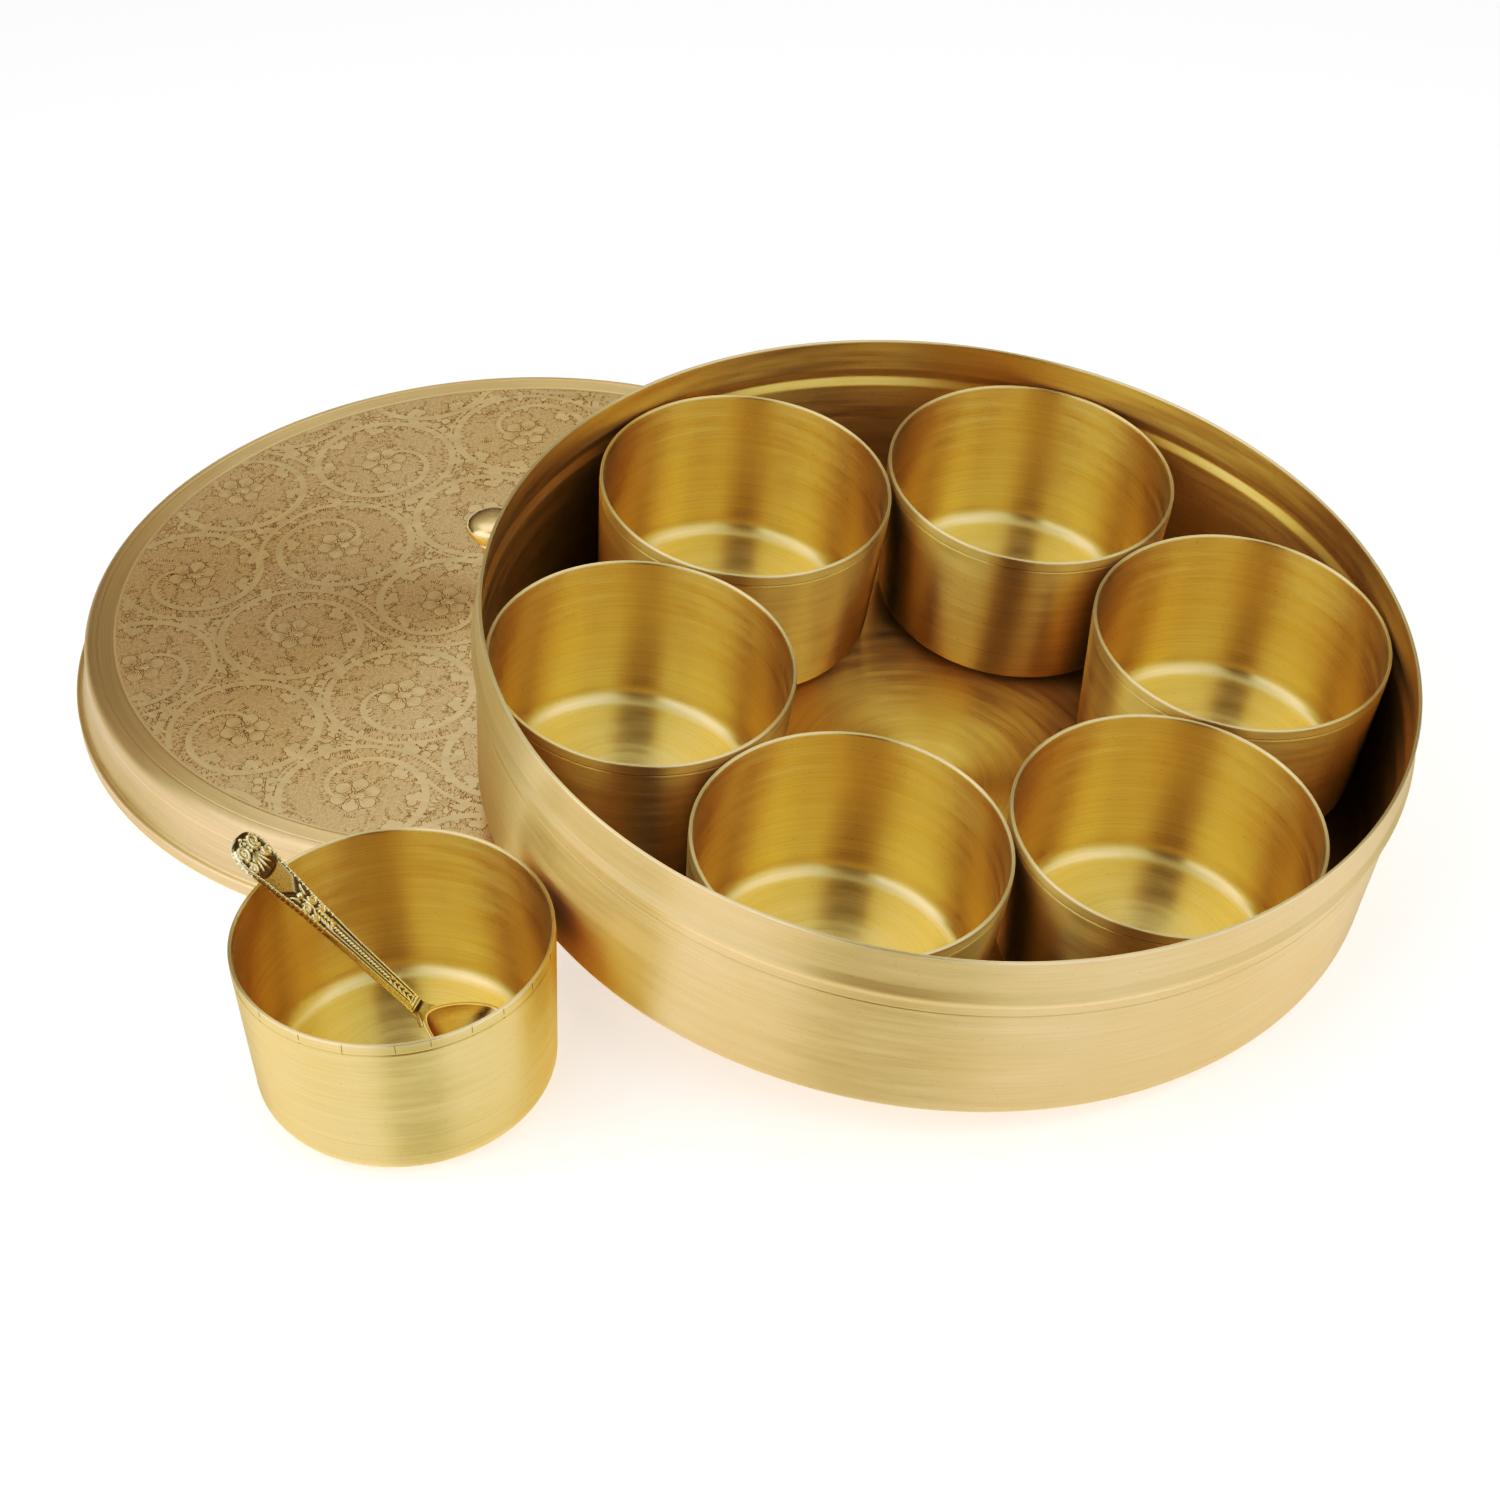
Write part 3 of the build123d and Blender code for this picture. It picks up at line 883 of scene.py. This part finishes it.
def trefoil(root, way, marks, vines, stalk, size=1.0):
    heart = root + ray(way, stalk)
    vines.append(([root + ray(way, stalk * k / 4) for k in range(5)], 0.42))
    for turn in (-1.35, 0.0, 1.35):
        marks.append(("lobe", heart - ray(way + turn, 0.25), way + turn, size))
    marks.append(("bead", heart, 0, 1.9 * size))


def medallion(middle, hand, phase, vines, marks, dice):
    # marks are (kind, place, way, size); a vine has its points and its share of the full width
    s = scrollSize
    innerLeaf, outerLeaf = ("leafLeft", "leafRight") if hand > 0 else ("leafRight", "leafLeft")

    def scrollPoint(t):
        hook = s["hookReach"] * max(0.0, 1 - t / s["hookPart"]) ** 2
        reach = s["inner"] + (s["outer"] - s["inner"]) * (1 - t ** 5) + hook
        return middle + ray(phase + hand * 2 * pi * s["turns"] * t, reach)

    main = [scrollPoint(k / s["steps"]) for k in range(s["steps"] + 1)]
    vines.append((main, 1.0))
    way, place = 0.0, 0
    for k in range(*s["leafSteps"]):
        a, b = main[k - 1], main[k]
        way += (b - a).length
        if way < s["leafGap"]:
            continue
        way = 0.0
        place += 1
        ahead = atan2(b.y - a.y, b.x - a.x)
        turned = s["turns"] * k / s["steps"]
        if s["trefoilTurns"][0] < turned < s["trefoilTurns"][1] and place % 2:
            trefoil(b, ahead + hand * 1.25, marks, vines, 2.6)
        else:
            marks.append((innerLeaf, b, ahead + hand * s["innerLean"], dice.uniform(0.85, 1.1)))
        if turned < s["outerTurns"]:
            if place % 3 == 1:
                trefoil(b, ahead - hand * 0.9, marks, vines, 1.8, 0.8)
            else:
                marks.append((outerLeaf, b, ahead - hand * s["outerLean"], dice.uniform(0.8, 1.05)))
    # a hook where the vine starts, and a thin line beside the scroll
    back = atan2(main[0].y - main[3].y, main[0].x - main[3].x)
    marks.append((innerLeaf, main[0], back, 1.1))
    start, end = (phase + hand * way for way in s["thinWay"])
    vines.append((arcPoints(middle, s["outer"] + s["thinOff"], start, end), s["thinShare"]))
    # the flower in the middle, its petals scored
    for k in range(s["petals"]):
        turn = phase + 2 * pi * k / s["petals"]
        marks.append(("petal", middle + ray(turn, s["petalOff"]), turn, 1.0))
        for spread in (-0.34, -0.12, 0.12, 0.34):
            marks.append(("vein", middle + ray(turn + spread, s["veinOff"]), turn + spread * 0.8, 1.0))
    marks.append(("bead", middle, 0, s["heart"]))


def gapMotif(middle, phase, isFan, marks):
    if isFan:
        # a scored fan on a bead, with two leaves under it
        for k in range(-3, 4):
            turn = phase + k * 0.42
            marks.append(("wedge", middle + ray(turn, 1.0), turn, 1.0))
            marks.append(("vein", middle + ray(turn, 2.2), turn, 0.7))
        marks.append(("bead", middle, 0, 1.8))
        marks.append(("leafLeft", middle, phase + pi - 0.6, 1.0))
        marks.append(("leafRight", middle, phase + pi + 0.6, 1.0))
    else:
        for k in range(4):
            turn = phase + pi * k / 2
            marks.append(("lobe", middle + ray(turn, 0.5), turn, 1.0))
        marks.append(("bead", middle, 0, 1.6))


def taper(t):
    # a vine's width along its way, as a share
    return 0.45 + 0.55 * max(0.0, sin(pi * t)) ** 0.6


hatchSize = dict(gap=1.15, off=0.1, sway=0.3, sizes=(0.75, 1.2), rows=1700, perRow=5, rowGap=0.62, margin=2)
# Strokes round a motif: how far on its middle is, how far out they start, and how many there are
hatchRound = dict(
    lobe=(1.75, 1.7, 7), petal=(3.0, 2.9, 9), leafLeft=(1.7, 1.3, 6), leafRight=(1.7, 1.3, 6),
    wedge=(2.6, 2.4, 3),
)


def hatchStrokes(vines, marks, dice):
    # short strokes that stand off the motifs, square to their outlines
    s = hatchSize
    strokes = []

    def stroke(place, way):
        sway = dice.uniform(-s["sway"], s["sway"])
        strokes.append(("stroke", place, way + sway, dice.uniform(*s["sizes"])))

    for points, width in vines:
        along = 0.0
        for k in range(1, len(points)):
            a, b = points[k - 1], points[k]
            along += (b - a).length
            if along < s["gap"]:
                continue
            along = 0.0
            ahead = atan2(b.y - a.y, b.x - a.x)
            half = etchSize["vine"] * width * taper(k / (len(points) - 1)) / 2
            for side in (pi / 2, -pi / 2):
                stroke(b + ray(ahead + side, half + s["off"]), ahead + side)
    # rows of strokes on the open ground; those under a motif are hidden by it
    reach = etchSize["border"] - s["margin"]
    for _ in range(s["rows"]):
        place = ray(dice.uniform(0, 2 * pi), reach * sqrt(dice.uniform(0.006, 1)))
        way = dice.uniform(0, 2 * pi)
        for k in range(s["perRow"]):
            stroke(place + ray(way + pi / 2, s["rowGap"] * k), way)
    for kind, place, way, size in marks:
        if kind in hatchRound:
            heart, out, count = hatchRound[kind]
            spread = 2 * pi if count > 3 else 1.2
            for k in range(count):
                turn = way + spread * ((k + 0.5) / count - 0.5)
                stroke(place + ray(way, heart * size) + ray(turn, out * size), turn)
    return strokes


def cutVine(points, width):
    # the runs of a line that lie between the knob and the border, with the width at each point
    last = len(points) - 1
    runs = [[]]
    for k, p in enumerate(points):
        if etchSize["knobClear"] < p.length < etchSize["border"]:
            runs[-1].append((p, width * taper(k / last)))
        elif runs[-1]:
            runs.append([])
    return [run for run in runs if len(run) > 3]


# How far a motif of size 1 reaches from its place
motifReach = dict(
    leafLeft=2.6, leafRight=2.6, lobe=2.6, petal=4.6, vein=2.0, wedge=4.0, bead=0.8, stroke=1.0,
)


def etchPlan():
    s = etchSize
    dice = Random(s["seed"])
    vines, marks = [], []
    bearing = radians(s["bearing"])
    right, left = ray(bearing, s["pitch"]), ray(bearing + pi / 3, s["pitch"])
    for i in range(-6, 7):
        for j in range(-6, 7):
            middle = Vector(s["first"]) + right * i + left * j
            phase = bearing + pi / 3 * dice.randrange(6)
            if middle.length > s["border"] + s["pitch"]:
                continue
            medallion(middle, 1 if (i + j) % 2 else -1, phase, vines, marks, dice)
            for isFan, gap in enumerate(((right + left) / 3, (2 * left - right) / 3)):
                gapMotif(middle + gap, phase + dice.uniform(0, 6), isFan, marks)
    strokes = hatchStrokes(vines, marks, dice)
    lines = [run for points, width in vines for run in cutVine(points, width)]
    lines.append([(ray(radians(k), s["border"] + 0.45), 0.3) for k in range(361)])
    kept = []
    for mark in marks + strokes:
        kind, place, way, size = mark
        ends = (place.length, (place + ray(way, motifReach[kind] * size)).length)
        if min(ends) > s["knobClear"] and max(ends) < s["border"]:
            kept.append(mark)
    return lines, kept


def storeTurned(tree, shape):
    # the lid's own turned map and grain, so that the motifs are brushed as the border is
    x, y, _ = splitVector(tree, ownPlace(tree))
    square = mathNode(tree, "ADD", product(tree, x, x), product(tree, y, y))
    angle = mathNode(tree, "ARCTAN2", x, product(tree, y, -1.0))
    share = mathNode(tree, "DIVIDE", angle, 2 * pi)
    return storeGrain(tree, shape, x, y, mathNode(tree, "SQRT", square), share)


def dressCut(tree, shape, given):
    # level tops take the finish, and sloping sides the finish of a cut
    facing = splitVector(tree, addNode(tree, "GeometryNodeInputNormal").outputs[0])
    slopes = mathNode(tree, "LESS_THAN", facing["Z"], 0.99)
    return setFinish(tree, setFinish(tree, shape, given["Finish"]), given["Cut Finish"], slopes)


def unevenShare(tree, low, high, seed, sources=()):
    # FLOAT's own sockets are the third and fourth inputs and the second output
    values = {2: low, 3: high, "Seed": seed, **dict(sources)}
    return addNode(tree, "FunctionNodeRandomValue", values, data_type="FLOAT").outputs[1]


def makeRibbonTree():
    # lines become low flat-topped ribbons; a line's radius sets its share of the width
    tree, given, result = newTree(
        "GeometryNodeTree", "etchedRibbon",
        [
            ("Lines", "Geometry"), ("Width", "Float"), ("Rise", "Float"), ("Seed", "Int"),
            ("Finish", "Material"), ("Cut Finish", "Material"),
        ],
        [("Ribbons", "Geometry")],
    )
    level = addNode(tree, "GeometryNodeSetCurveNormal", {"Curve": given["Lines"]}, mode="Z_UP")
    size = {
        "Bottom Width": given["Width"], "Height": given["Rise"], "Offset": 0.0,
        "Top Width": mathNode(tree, "SUBTRACT", given["Width"], 2 * etchSize["bevel"] * mm),
    }
    profile = addNode(tree, "GeometryNodeCurvePrimitiveQuadrilateral", size, mode="TRAPEZOID")
    sweep = {
        "Curve": level.outputs[0], "Profile Curve": profile.outputs[0], "Fill Caps": True,
        "Scale": addNode(tree, "GeometryNodeInputRadius").outputs[0],
    }
    ribbon = addNode(tree, "GeometryNodeCurveToMesh", sweep).outputs[0]
    # a narrow line is made about as high as a full one, and no two that cross are quite level
    x, y, z = splitVector(tree, ownPlace(tree))
    island = addNode(tree, "GeometryNodeInputMeshIsland").outputs["Island Index"]
    uneven = unevenShare(tree, 0.85, 1.15, given["Seed"], {"ID": island})
    high = product(tree, mathNode(tree, "GREATER_THAN", z, 0.0), given["Rise"])
    place = joinVector(tree, x, y, product(tree, high, uneven))
    flat = addNode(tree, "GeometryNodeSetPosition", {"Geometry": ribbon, "Position": place}).outputs[0]
    hard = addNode(tree, "GeometryNodeSetShadeSmooth", {"Geometry": flat, "Shade Smooth": False}).outputs[0]
    whole = addNode(tree, "GeometryNodeRealizeInstances", {0: storeTurned(tree, hard)}).outputs[0]
    tree.links.new(dressCut(tree, whole, given), result[0])
    return tree


def makeScatterTree():
    # puts one small shape on every point, turned and sized by the point
    tree, given, result = newTree(
        "GeometryNodeTree", "etchedMarks",
        [
            ("Places", "Geometry"), ("Shape", "Object"), ("Seed", "Int"), ("Uneven", "Float"),
            ("Finish", "Material"), ("Cut Finish", "Material"),
        ],
        [("Marks", "Geometry")],
    )
    shape = addNode(tree, "GeometryNodeObjectInfo", {"Object": given["Shape"], "As Instance": True})
    way, size = (readMark(tree, name) for name in ("way", "size"))
    share = unevenShare(tree, -1.0, 1.0, given["Seed"])
    uneven = mathNode(tree, "ADD", product(tree, share, given["Uneven"]), 1.0)
    spread = {
        "Points": given["Places"], "Instance": shape.outputs["Geometry"],
        "Rotation": joinVector(tree, z=way), "Scale": joinVector(tree, size, size, uneven),
    }
    placed = addNode(tree, "GeometryNodeInstanceOnPoints", spread).outputs[0]
    whole = addNode(tree, "GeometryNodeRealizeInstances", {0: placed}).outputs[0]
    tree.links.new(dressCut(tree, storeTurned(tree, whole), given), result[0])
    return tree


def pointMesh(name, marks):
    mesh = bpy.data.meshes.new(name)
    mesh.from_pydata([(p.x * mm, p.y * mm, 0) for _, p, _, _ in marks], [], [])
    for label, i in (("way", 2), ("size", 3)):
        values = [mark[i] for mark in marks]
        mesh.attributes.new(label, "FLOAT", "POINT").data.foreach_set("value", values)
    return mesh


def lineCurve(name, lines):
    curve = bpy.data.curves.new(name, "CURVE")
    curve.dimensions = "3D"
    for points in lines:
        spline = curve.splines.new("POLY")
        spline.points.add(len(points) - 1)
        for target, (p, width) in zip(spline.points, points):
            target.co = (p.x * mm, p.y * mm, 0, 1)
            target.radius = width
    return curve


strokeLook = dict(
    outerLook, pale=(0.42, 0.28, 0.15), deep=(0.33, 0.21, 0.10), specks=0.5, rough=0.5, stretch=0.5,
)
strokeBrass = brushedBrass("strokeBrass", strokeLook)
rise = etchSize["rise"]
etchLines, etchMarks = etchPlan()
etchSeat = Matrix.Translation(lidSeat.translation + upright * etchedLevel * mm)
etched = [bakeTree(
    "etchedVines", lineCurve("vineLines", etchLines), makeRibbonTree(), etchSeat,
    {
        "Width": etchSize["vine"] * mm, "Rise": rise * mm, "Seed": 1,
        "Finish": lidBrass, "Cut Finish": strokeBrass,
    },
)]
scatterTree = makeScatterTree()
etchShapes = dict(
    leafLeft=bentRings(3.6, 1.9, 60, rise),
    leafRight=bentRings(3.6, 1.9, -60, rise),
    lobe=bentRings(3.5, 3.1, 0, rise, points=8, head=0.55),
    petal=bentRings(5.6, 4.6, 0, rise, points=10, head=0.6),
    wedge=bentRings(4.4, 1.5, 0, rise, points=6, head=0.74),
    bead=bentRings(1.0, 1.0, 0, rise, points=6, head=0.5),
    vein=sliver(2.3, 0.24, etchSize["veinRise"]),
    stroke=sliver(1.25, 0.3, etchSize["strokeRise"]),
)
for seed, (kind, rings) in enumerate(etchShapes.items()):
    shape = flatShape(kind + "Shape", rings)
    places = pointMesh(kind + "Places", [mark for mark in etchMarks if mark[0] == kind])
    finish = strokeBrass if kind in ("stroke", "vein") else lidBrass
    values = {"Shape": shape, "Seed": seed + 2, "Uneven": 0.15, "Finish": finish, "Cut Finish": strokeBrass}
    etched.append(bakeTree("etched_" + kind, places, scatterTree, etchSeat, values))
    bpy.data.objects.remove(shape)
for piece in etched:
    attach(piece, "lid")
print("etching:", len(etchLines), "lines and", len(etchMarks), "marks")


# Fine ticks across the rim band of the seventh bowl
tickSize = dict(count=23, width=0.26, low=41.0, high=43.75, sunk=0.1, proud=0.008, seed=5)


def tickMarks():
    # their places round the bowl, and a tick's own foot and top, which leans as the wall does
    s = tickSize
    slope = bowlSize["draft"] / bowlSize["height"]
    radius = bowlSize["rimRadius"] - bowlSize["draft"] + slope * s["low"]
    lean = bowlSize["rimRadius"] - bowlSize["rimDrawnIn"] - radius
    dice = Random(s["seed"])
    gaps = [dice.uniform(0.75, 1.25) for _ in range(s["count"])]
    marks, turn = [], 0.0
    for gap in gaps:
        turn += 2 * pi * gap / sum(gaps)
        marks.append(("tick", ray(turn, radius), turn, 1.0))
    half = s["width"] / 2
    corners = ((-s["sunk"], -half), (s["proud"], -half), (s["proud"], half), (-s["sunk"], half))
    foot = [(x, y, s["low"]) for x, y in corners]
    return marks, [foot, [(x + lean, y, s["high"]) for x, y in corners]]


tickPlaces, tickRings = tickMarks()
tickShape = flatShape("tickShape", tickRings)
ticks = bakeTree(
    "rimTicks", pointMesh("tickPlaces", tickPlaces), scatterTree, seatOf("bowl_7"),
    {"Shape": tickShape, "Uneven": 0.0, "Finish": strokeBrass, "Cut Finish": strokeBrass},
)
bpy.data.objects.remove(tickShape)
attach(ticks, "bowl_7")
print("rim ticks")


# Spoon: a cast handle with raised ornament, and a dish that is a cap of a ball. Along is measured
# from the head's tip towards the dish, across from the middle line. The seat is the handle's end at
# the dish; widths are half widths at places along; edges and hollow shape the section of the handle.
spoonSize = dict(
    seat=(-71.6174, -112.515, 9.27388),
    wayAlong=(0.660883, -0.231438, -0.713912), wayUp=(0.673791, -0.235958, 0.700236),
    length=62.0, overlap=1.2, ground=1.75, headReach=6.5, step=0.16, across=48, under=14,
    widths=((6.5, 5.6), (13.0, 4.6), (26.0, 3.35), (39.0, 2.6), (59.0, 2.15)), neckWidth=4.2, headCurve=2.6,
    shieldStart=10.0, shieldBulge=1.1, shieldEnd=19.4, shieldPoint=3.6, neckStart=59.6, blend=0.8,
    # the painted shade fades out as the ornament rises to this height
    edgeFrom=0.86, underEdgeFrom=0.7, middle=0.55, hollow=0.35, shadeDepth=0.34, dotGap=0.12,
)
dishSize = dict(
    middle=(-57.354, -117.510, 18.2), axis=(0.244, -0.0855, 0.966), ball=17.0, depth=5.5, wall=1.2,
    eggFrom=12.0, eggReach=20.0, eggDraw=0.5,
)


def dots(points):
    return [(Vector((u, v)), r) for u, v, r in points]


def bothSides(marks):
    return marks + [(Vector((p.x, -p.y)), r) for p, r in marks]


def scroll(u, v, start, end, turns, fromAngle, thick, thin):
    # a spiral of small dots, wound inwards
    count = ceil(abs(turns) * 2 * pi * start / spoonSize["dotGap"])
    marks = []
    for k in range(count + 1):
        t = k / count
        angle = radians(fromAngle) + turns * 2 * pi * t
        arm = start + (end - start) * t
        marks.append((u + arm * cos(angle), v + arm * sin(angle), thick + (thin - thick) * t))
    return dots(marks) + dots([(u, v, end * 0.9)])


def leaf(u, v, angle, length, width, bend=0.0):
    # a petal that swells and ends in a point, bent sideways by some degrees
    count = ceil(length / spoonSize["dotGap"])
    marks = []
    way = radians(angle)
    for k in range(count + 1):
        t = k / count
        marks.append((u, v, width / 2 * max(0.25, sin(pi * min(1.0, 0.12 + 0.95 * t)) ** 0.6)))
        way += radians(bend) / count
        u += cos(way) * length / count
        v += sin(way) * length / count
    return dots(marks)


def halfWidth(u):
    s = spoonSize
    first = s["widths"][0]
    if u < first[0]:
        return first[1] * max(0.0, 1 - (1 - u / first[0]) ** s["headCurve"]) ** (1 / s["headCurve"])
    for (a, wa), (b, wb) in zip(s["widths"], s["widths"][1:]):
        if u <= b:
            t = (u - a) / (b - a)
            return wa + (wb - wa) * (3 - 2 * t) * t * t * 0.5 + (wb - wa) * t * 0.5
    a, wa = s["widths"][-1]
    t = min(1.0, (u - a) / (s["length"] + s["overlap"] - a))
    return wa + (s["neckWidth"] - wa) * t * t


def row(start, end, offset, radius, spacing):
    # beads along a line that keeps a share of the half width
    count = int((end - start) / spacing)
    places = [start + k * spacing for k in range(count + 1)]
    return dots([(u, offset * halfWidth(u), radius) for u in places])


def ornament():
    s = spoonSize
    marks = []
    # head: scrolls and leaves round a fan, with a crest at the tip
    marks += bothSides(scroll(3.3, 2.7, 1.9, 0.5, -1.5, 20, 0.55, 0.42))
    marks += bothSides(scroll(7.4, 3.7, 1.35, 0.4, 1.35, -150, 0.5, 0.36))
    marks += bothSides(leaf(5.4, 1.5, 100, 2.6, 0.85, 50))
    marks += bothSides(leaf(1.2, 0.6, 60, 3.0, 0.8, -70))
    for k in range(-3, 4):
        marks += leaf(5.2 + abs(k) * 0.25, k * 0.5, k * 15, 6.0 - abs(k) * 0.45, 0.82, k * 5)
    marks += dots([(0.9, 0, 0.6), (2.2, 0, 0.6), (3.4, 0, 0.5), (4.4, 0, 0.6)])
    # beads on both edges down to the stem, and a border round the shield
    for k in range(41):
        u = 1.6 + k * 0.72
        marks += bothSides(dots([(u, halfWidth(u) - 0.5, 0.46 + 0.1 * (k % 2))]))
    # rosette and scrolls below the shield
    rose = s["shieldEnd"] + 0.9
    marks += dots([(rose, 0, 0.95)])
    marks += bothSides(leaf(rose - 1.6, 2.6, -52, 3.6, 0.95, 70))
    marks += bothSides(scroll(23.4, 1.75, 1.25, 0.4, 1.4, 200, 0.46, 0.34))
    marks += bothSides(scroll(26.6, 1.45, 1.05, 0.35, -1.3, 160, 0.42, 0.32))
    marks += leaf(21.4, 0, 0, 5.0, 1.1)
    for k in range(6):
        marks += bothSides(leaf(25.0 + k * 1.05, 0.2, 46, 2.9 - 0.16 * k, 0.8, -36))
    # stem: a garland of beads between two pairs of long ridges
    marks += row(31.0, 49.6, 0.0, 0.52, 0.92)
    marks += bothSides(row(31.4, 49.2, 0.14, 0.3, 0.92))
    for offset, radius in ((0.44, 0.3), (0.84, 0.42)):
        marks += bothSides(row(30.0, 57.6, offset, radius, 0.14))
    # husks near the end, a collar, and a crease down the neck
    for k in range(5):
        marks += bothSides(leaf(49.8 + k * 1.5, 0.1, 38, 2.0, 0.7, -24))
    for u, radius in ((57.4, 0.3), (58.2, 0.4), (59.0, 0.3)):
        count = ceil(2 * halfWidth(u) / 0.14)
        marks += dots([(u, (2 * k / count - 1) * halfWidth(u), radius) for k in range(count + 1)])
    return marks


def ramp(t):
    return min(1.0, max(0.0, t))


def shieldShare(u, share):
    # 1 on the smooth shield and on the neck, 0 on the ornament; the fan bulges into the shield's head,
    # and its foot is a point
    s = spoonSize
    start = s["shieldStart"] + s["shieldBulge"] * (1 - share * share)
    end = s["shieldEnd"] - s["shieldPoint"] * abs(share)
    onShield = min(ramp((u - start) / s["blend"]), ramp((end - u) / s["blend"]))
    return max(onShield, ramp((u - s["neckStart"]) / s["blend"]))


def rounded(share, start):
    # the height of a section whose edges are rounded from a share of its width
    edge = max(0.0, (abs(share) - start) / (1 - start))
    return sqrt(max(0.0, 1 - edge * edge)), edge


def handleMesh():
    s = spoonSize
    marks = ornament()
    tree = KDTree(len(marks))
    for i, (p, _) in enumerate(marks):
        tree.insert((p.x, p.y, 0), i)
    tree.balance()
    largest = max(r for _, r in marks)

    def relief(u, v):
        # the height of the ornament: each mark is a ball sunk to its middle
        height = 0.0
        for _, i, gap in tree.find_range((u, v, 0), largest):
            radius = marks[i][1]
            if gap < radius:
                height = max(height, sqrt(radius * radius - gap * gap))
        return height

    head = [s["headReach"] * (1 - cos(radians(a))) for a in (2, 5, 8, 11, 14, 17, *range(20, 91, 2))]
    count = round((s["length"] + s["overlap"] - head[-1]) / s["step"])
    stations = head + [head[-1] + (k + 1) * s["step"] for k in range(count)]
    bm = bmesh.new()
    # painted shade and reflection, marked on each point of the handle
    shadeAndReflection = bm.verts.layers.float.new("shadeAndReflection")
    middle = s["ground"] * s["middle"]
    rings = []
    for u in stations:
        w = halfWidth(u)
        ring = []
        for k in range(s["across"] + 1):
            share = 2 * k / s["across"] - 1
            share = sin(share * pi / 2) * 0.5 + share * 0.5  # closer together near the edges
            full, edge = rounded(share, s["edgeFrom"])
            lift = relief(u, share * w)
            smooth = shieldShare(u, share)
            top = s["ground"] - smooth * s["hollow"] * (1 - share * share) + lift - middle
            vert = bm.verts.new((u - s["length"], share * w, middle + top * full))
            # painted shade: full in the hollows between marks, lighter on the rounded edges, and about half
            # on the smooth shield and neck as a painted dark reflection
            vert[shadeAndReflection] = max(0.0, 1 - lift / s["shadeDepth"]) * (1 - 0.45 * smooth) * (1 - 0.35 * edge)
            ring.append(vert)
        for k in range(1, s["under"]):
            share = 1 - 2 * k / s["under"]
            full, _ = rounded(share, s["underEdgeFrom"])
            vert = bm.verts.new((u - s["length"], share * w, middle * (1 - full)))
            # a little painted shade on the underside
            vert[shadeAndReflection] = 0.15
            ring.append(vert)
        rings.append(ring)
    for a, b in zip(rings, rings[1:]):
        for k in range(len(a)):
            j = (k + 1) % len(a)
            bm.faces.new((a[k], b[k], b[j], a[j]))
    bm.faces.new(rings[0])
    bm.faces.new(reversed(rings[-1]))
    bmesh.ops.recalc_face_normals(bm, faces=bm.faces)
    for face in bm.faces:
        face.smooth = True
    mesh = bpy.data.meshes.new("spoonHandle")
    bm.to_mesh(mesh)
    bm.free()
    along, up = Vector(s["wayAlong"]), Vector(s["wayUp"])
    turn = Matrix((along, up.cross(along), up)).transposed().to_4x4()
    mesh.transform(Matrix.Scale(mm, 4))
    mesh.transform(Matrix.Translation(Vector(s["seat"]) * mm) @ turn)
    return mesh


def dishOutline():
    # the underside out to the rim, and back along the inside
    s = dishSize
    drop = s["ball"] - s["depth"]

    def arc(radius, count=16):
        turn = asin(sqrt(radius ** 2 - drop ** 2) / radius)
        return [(radius * sin(turn * k / count), -radius * cos(turn * k / count)) for k in range(count + 1)]

    under, inside = arc(s["ball"]), arc(s["ball"] - s["wall"])
    return roundedOutline([*under[:-1], (*under[-1], 0.25), (*inside[-1], 0.25), *reversed(inside[:-1])])


# Cast brass; its dark colour is painted shade in the ornament's hollows and a painted dark reflection on
# the shield
castLook = dict(
    pale=(0.94, 0.87, 0.60), deep=(0.89, 0.80, 0.51), shadeAndReflection=(0.20, 0.155, 0.07),
    shadeAndReflectionRange=(0.12, 0.9), specks=0.4, rough=0.26, grain=1500.0, detail=3.0, brighter=0.08, duller=0.1,
    bump=0.3, depth=0.00006,
)
handle = addObject("spoonHandle", handleMesh())
handle.data.materials.append(mottledBrass("castBrass", castLook))
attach(handle, "spoon")
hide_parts("spoon")
dishSeat = Matrix.Translation(Vector(dishSize["middle"]) * mm)
dishSeat = dishSeat @ turnedAxes(dishSize["axis"]).transposed().to_4x4()
dishLook = dict(polishedLook, pale=(0.62, 0.44, 0.20), deep=(0.54, 0.37, 0.15), rough=0.3)
dishBrass = brushedBrass("dishBrass", dishLook)
dish = bakeTree(
    "spoonDish", outlineMesh("spoonDishOutline", dishOutline(), lambda i, p: 0.0, lambda i, p: 0.0),
    turningTree, Matrix(),
    {"Turns": 72, "Finish": dishBrass, "Inside Finish": dishBrass, "Etched Finish": dishBrass},
)
# the round dish is drawn in towards the handle, like an egg
forward = (dishSeat.inverted().to_3x3() @ Vector(spoonSize["wayAlong"])).to_2d().normalized()
across = Vector((-forward.y, forward.x))
for vert in dish.data.vertices:
    flat = vert.co.to_2d() / mm
    t = ramp((flat.dot(forward) + dishSize["eggFrom"]) / dishSize["eggReach"])
    side = across * flat.dot(across) * (dishSize["eggDraw"] * (1 - t) ** 1.5) * mm
    vert.co -= side.to_3d()
dish.data.transform(dishSeat)
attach(dish, "spoon")
print("spoon")
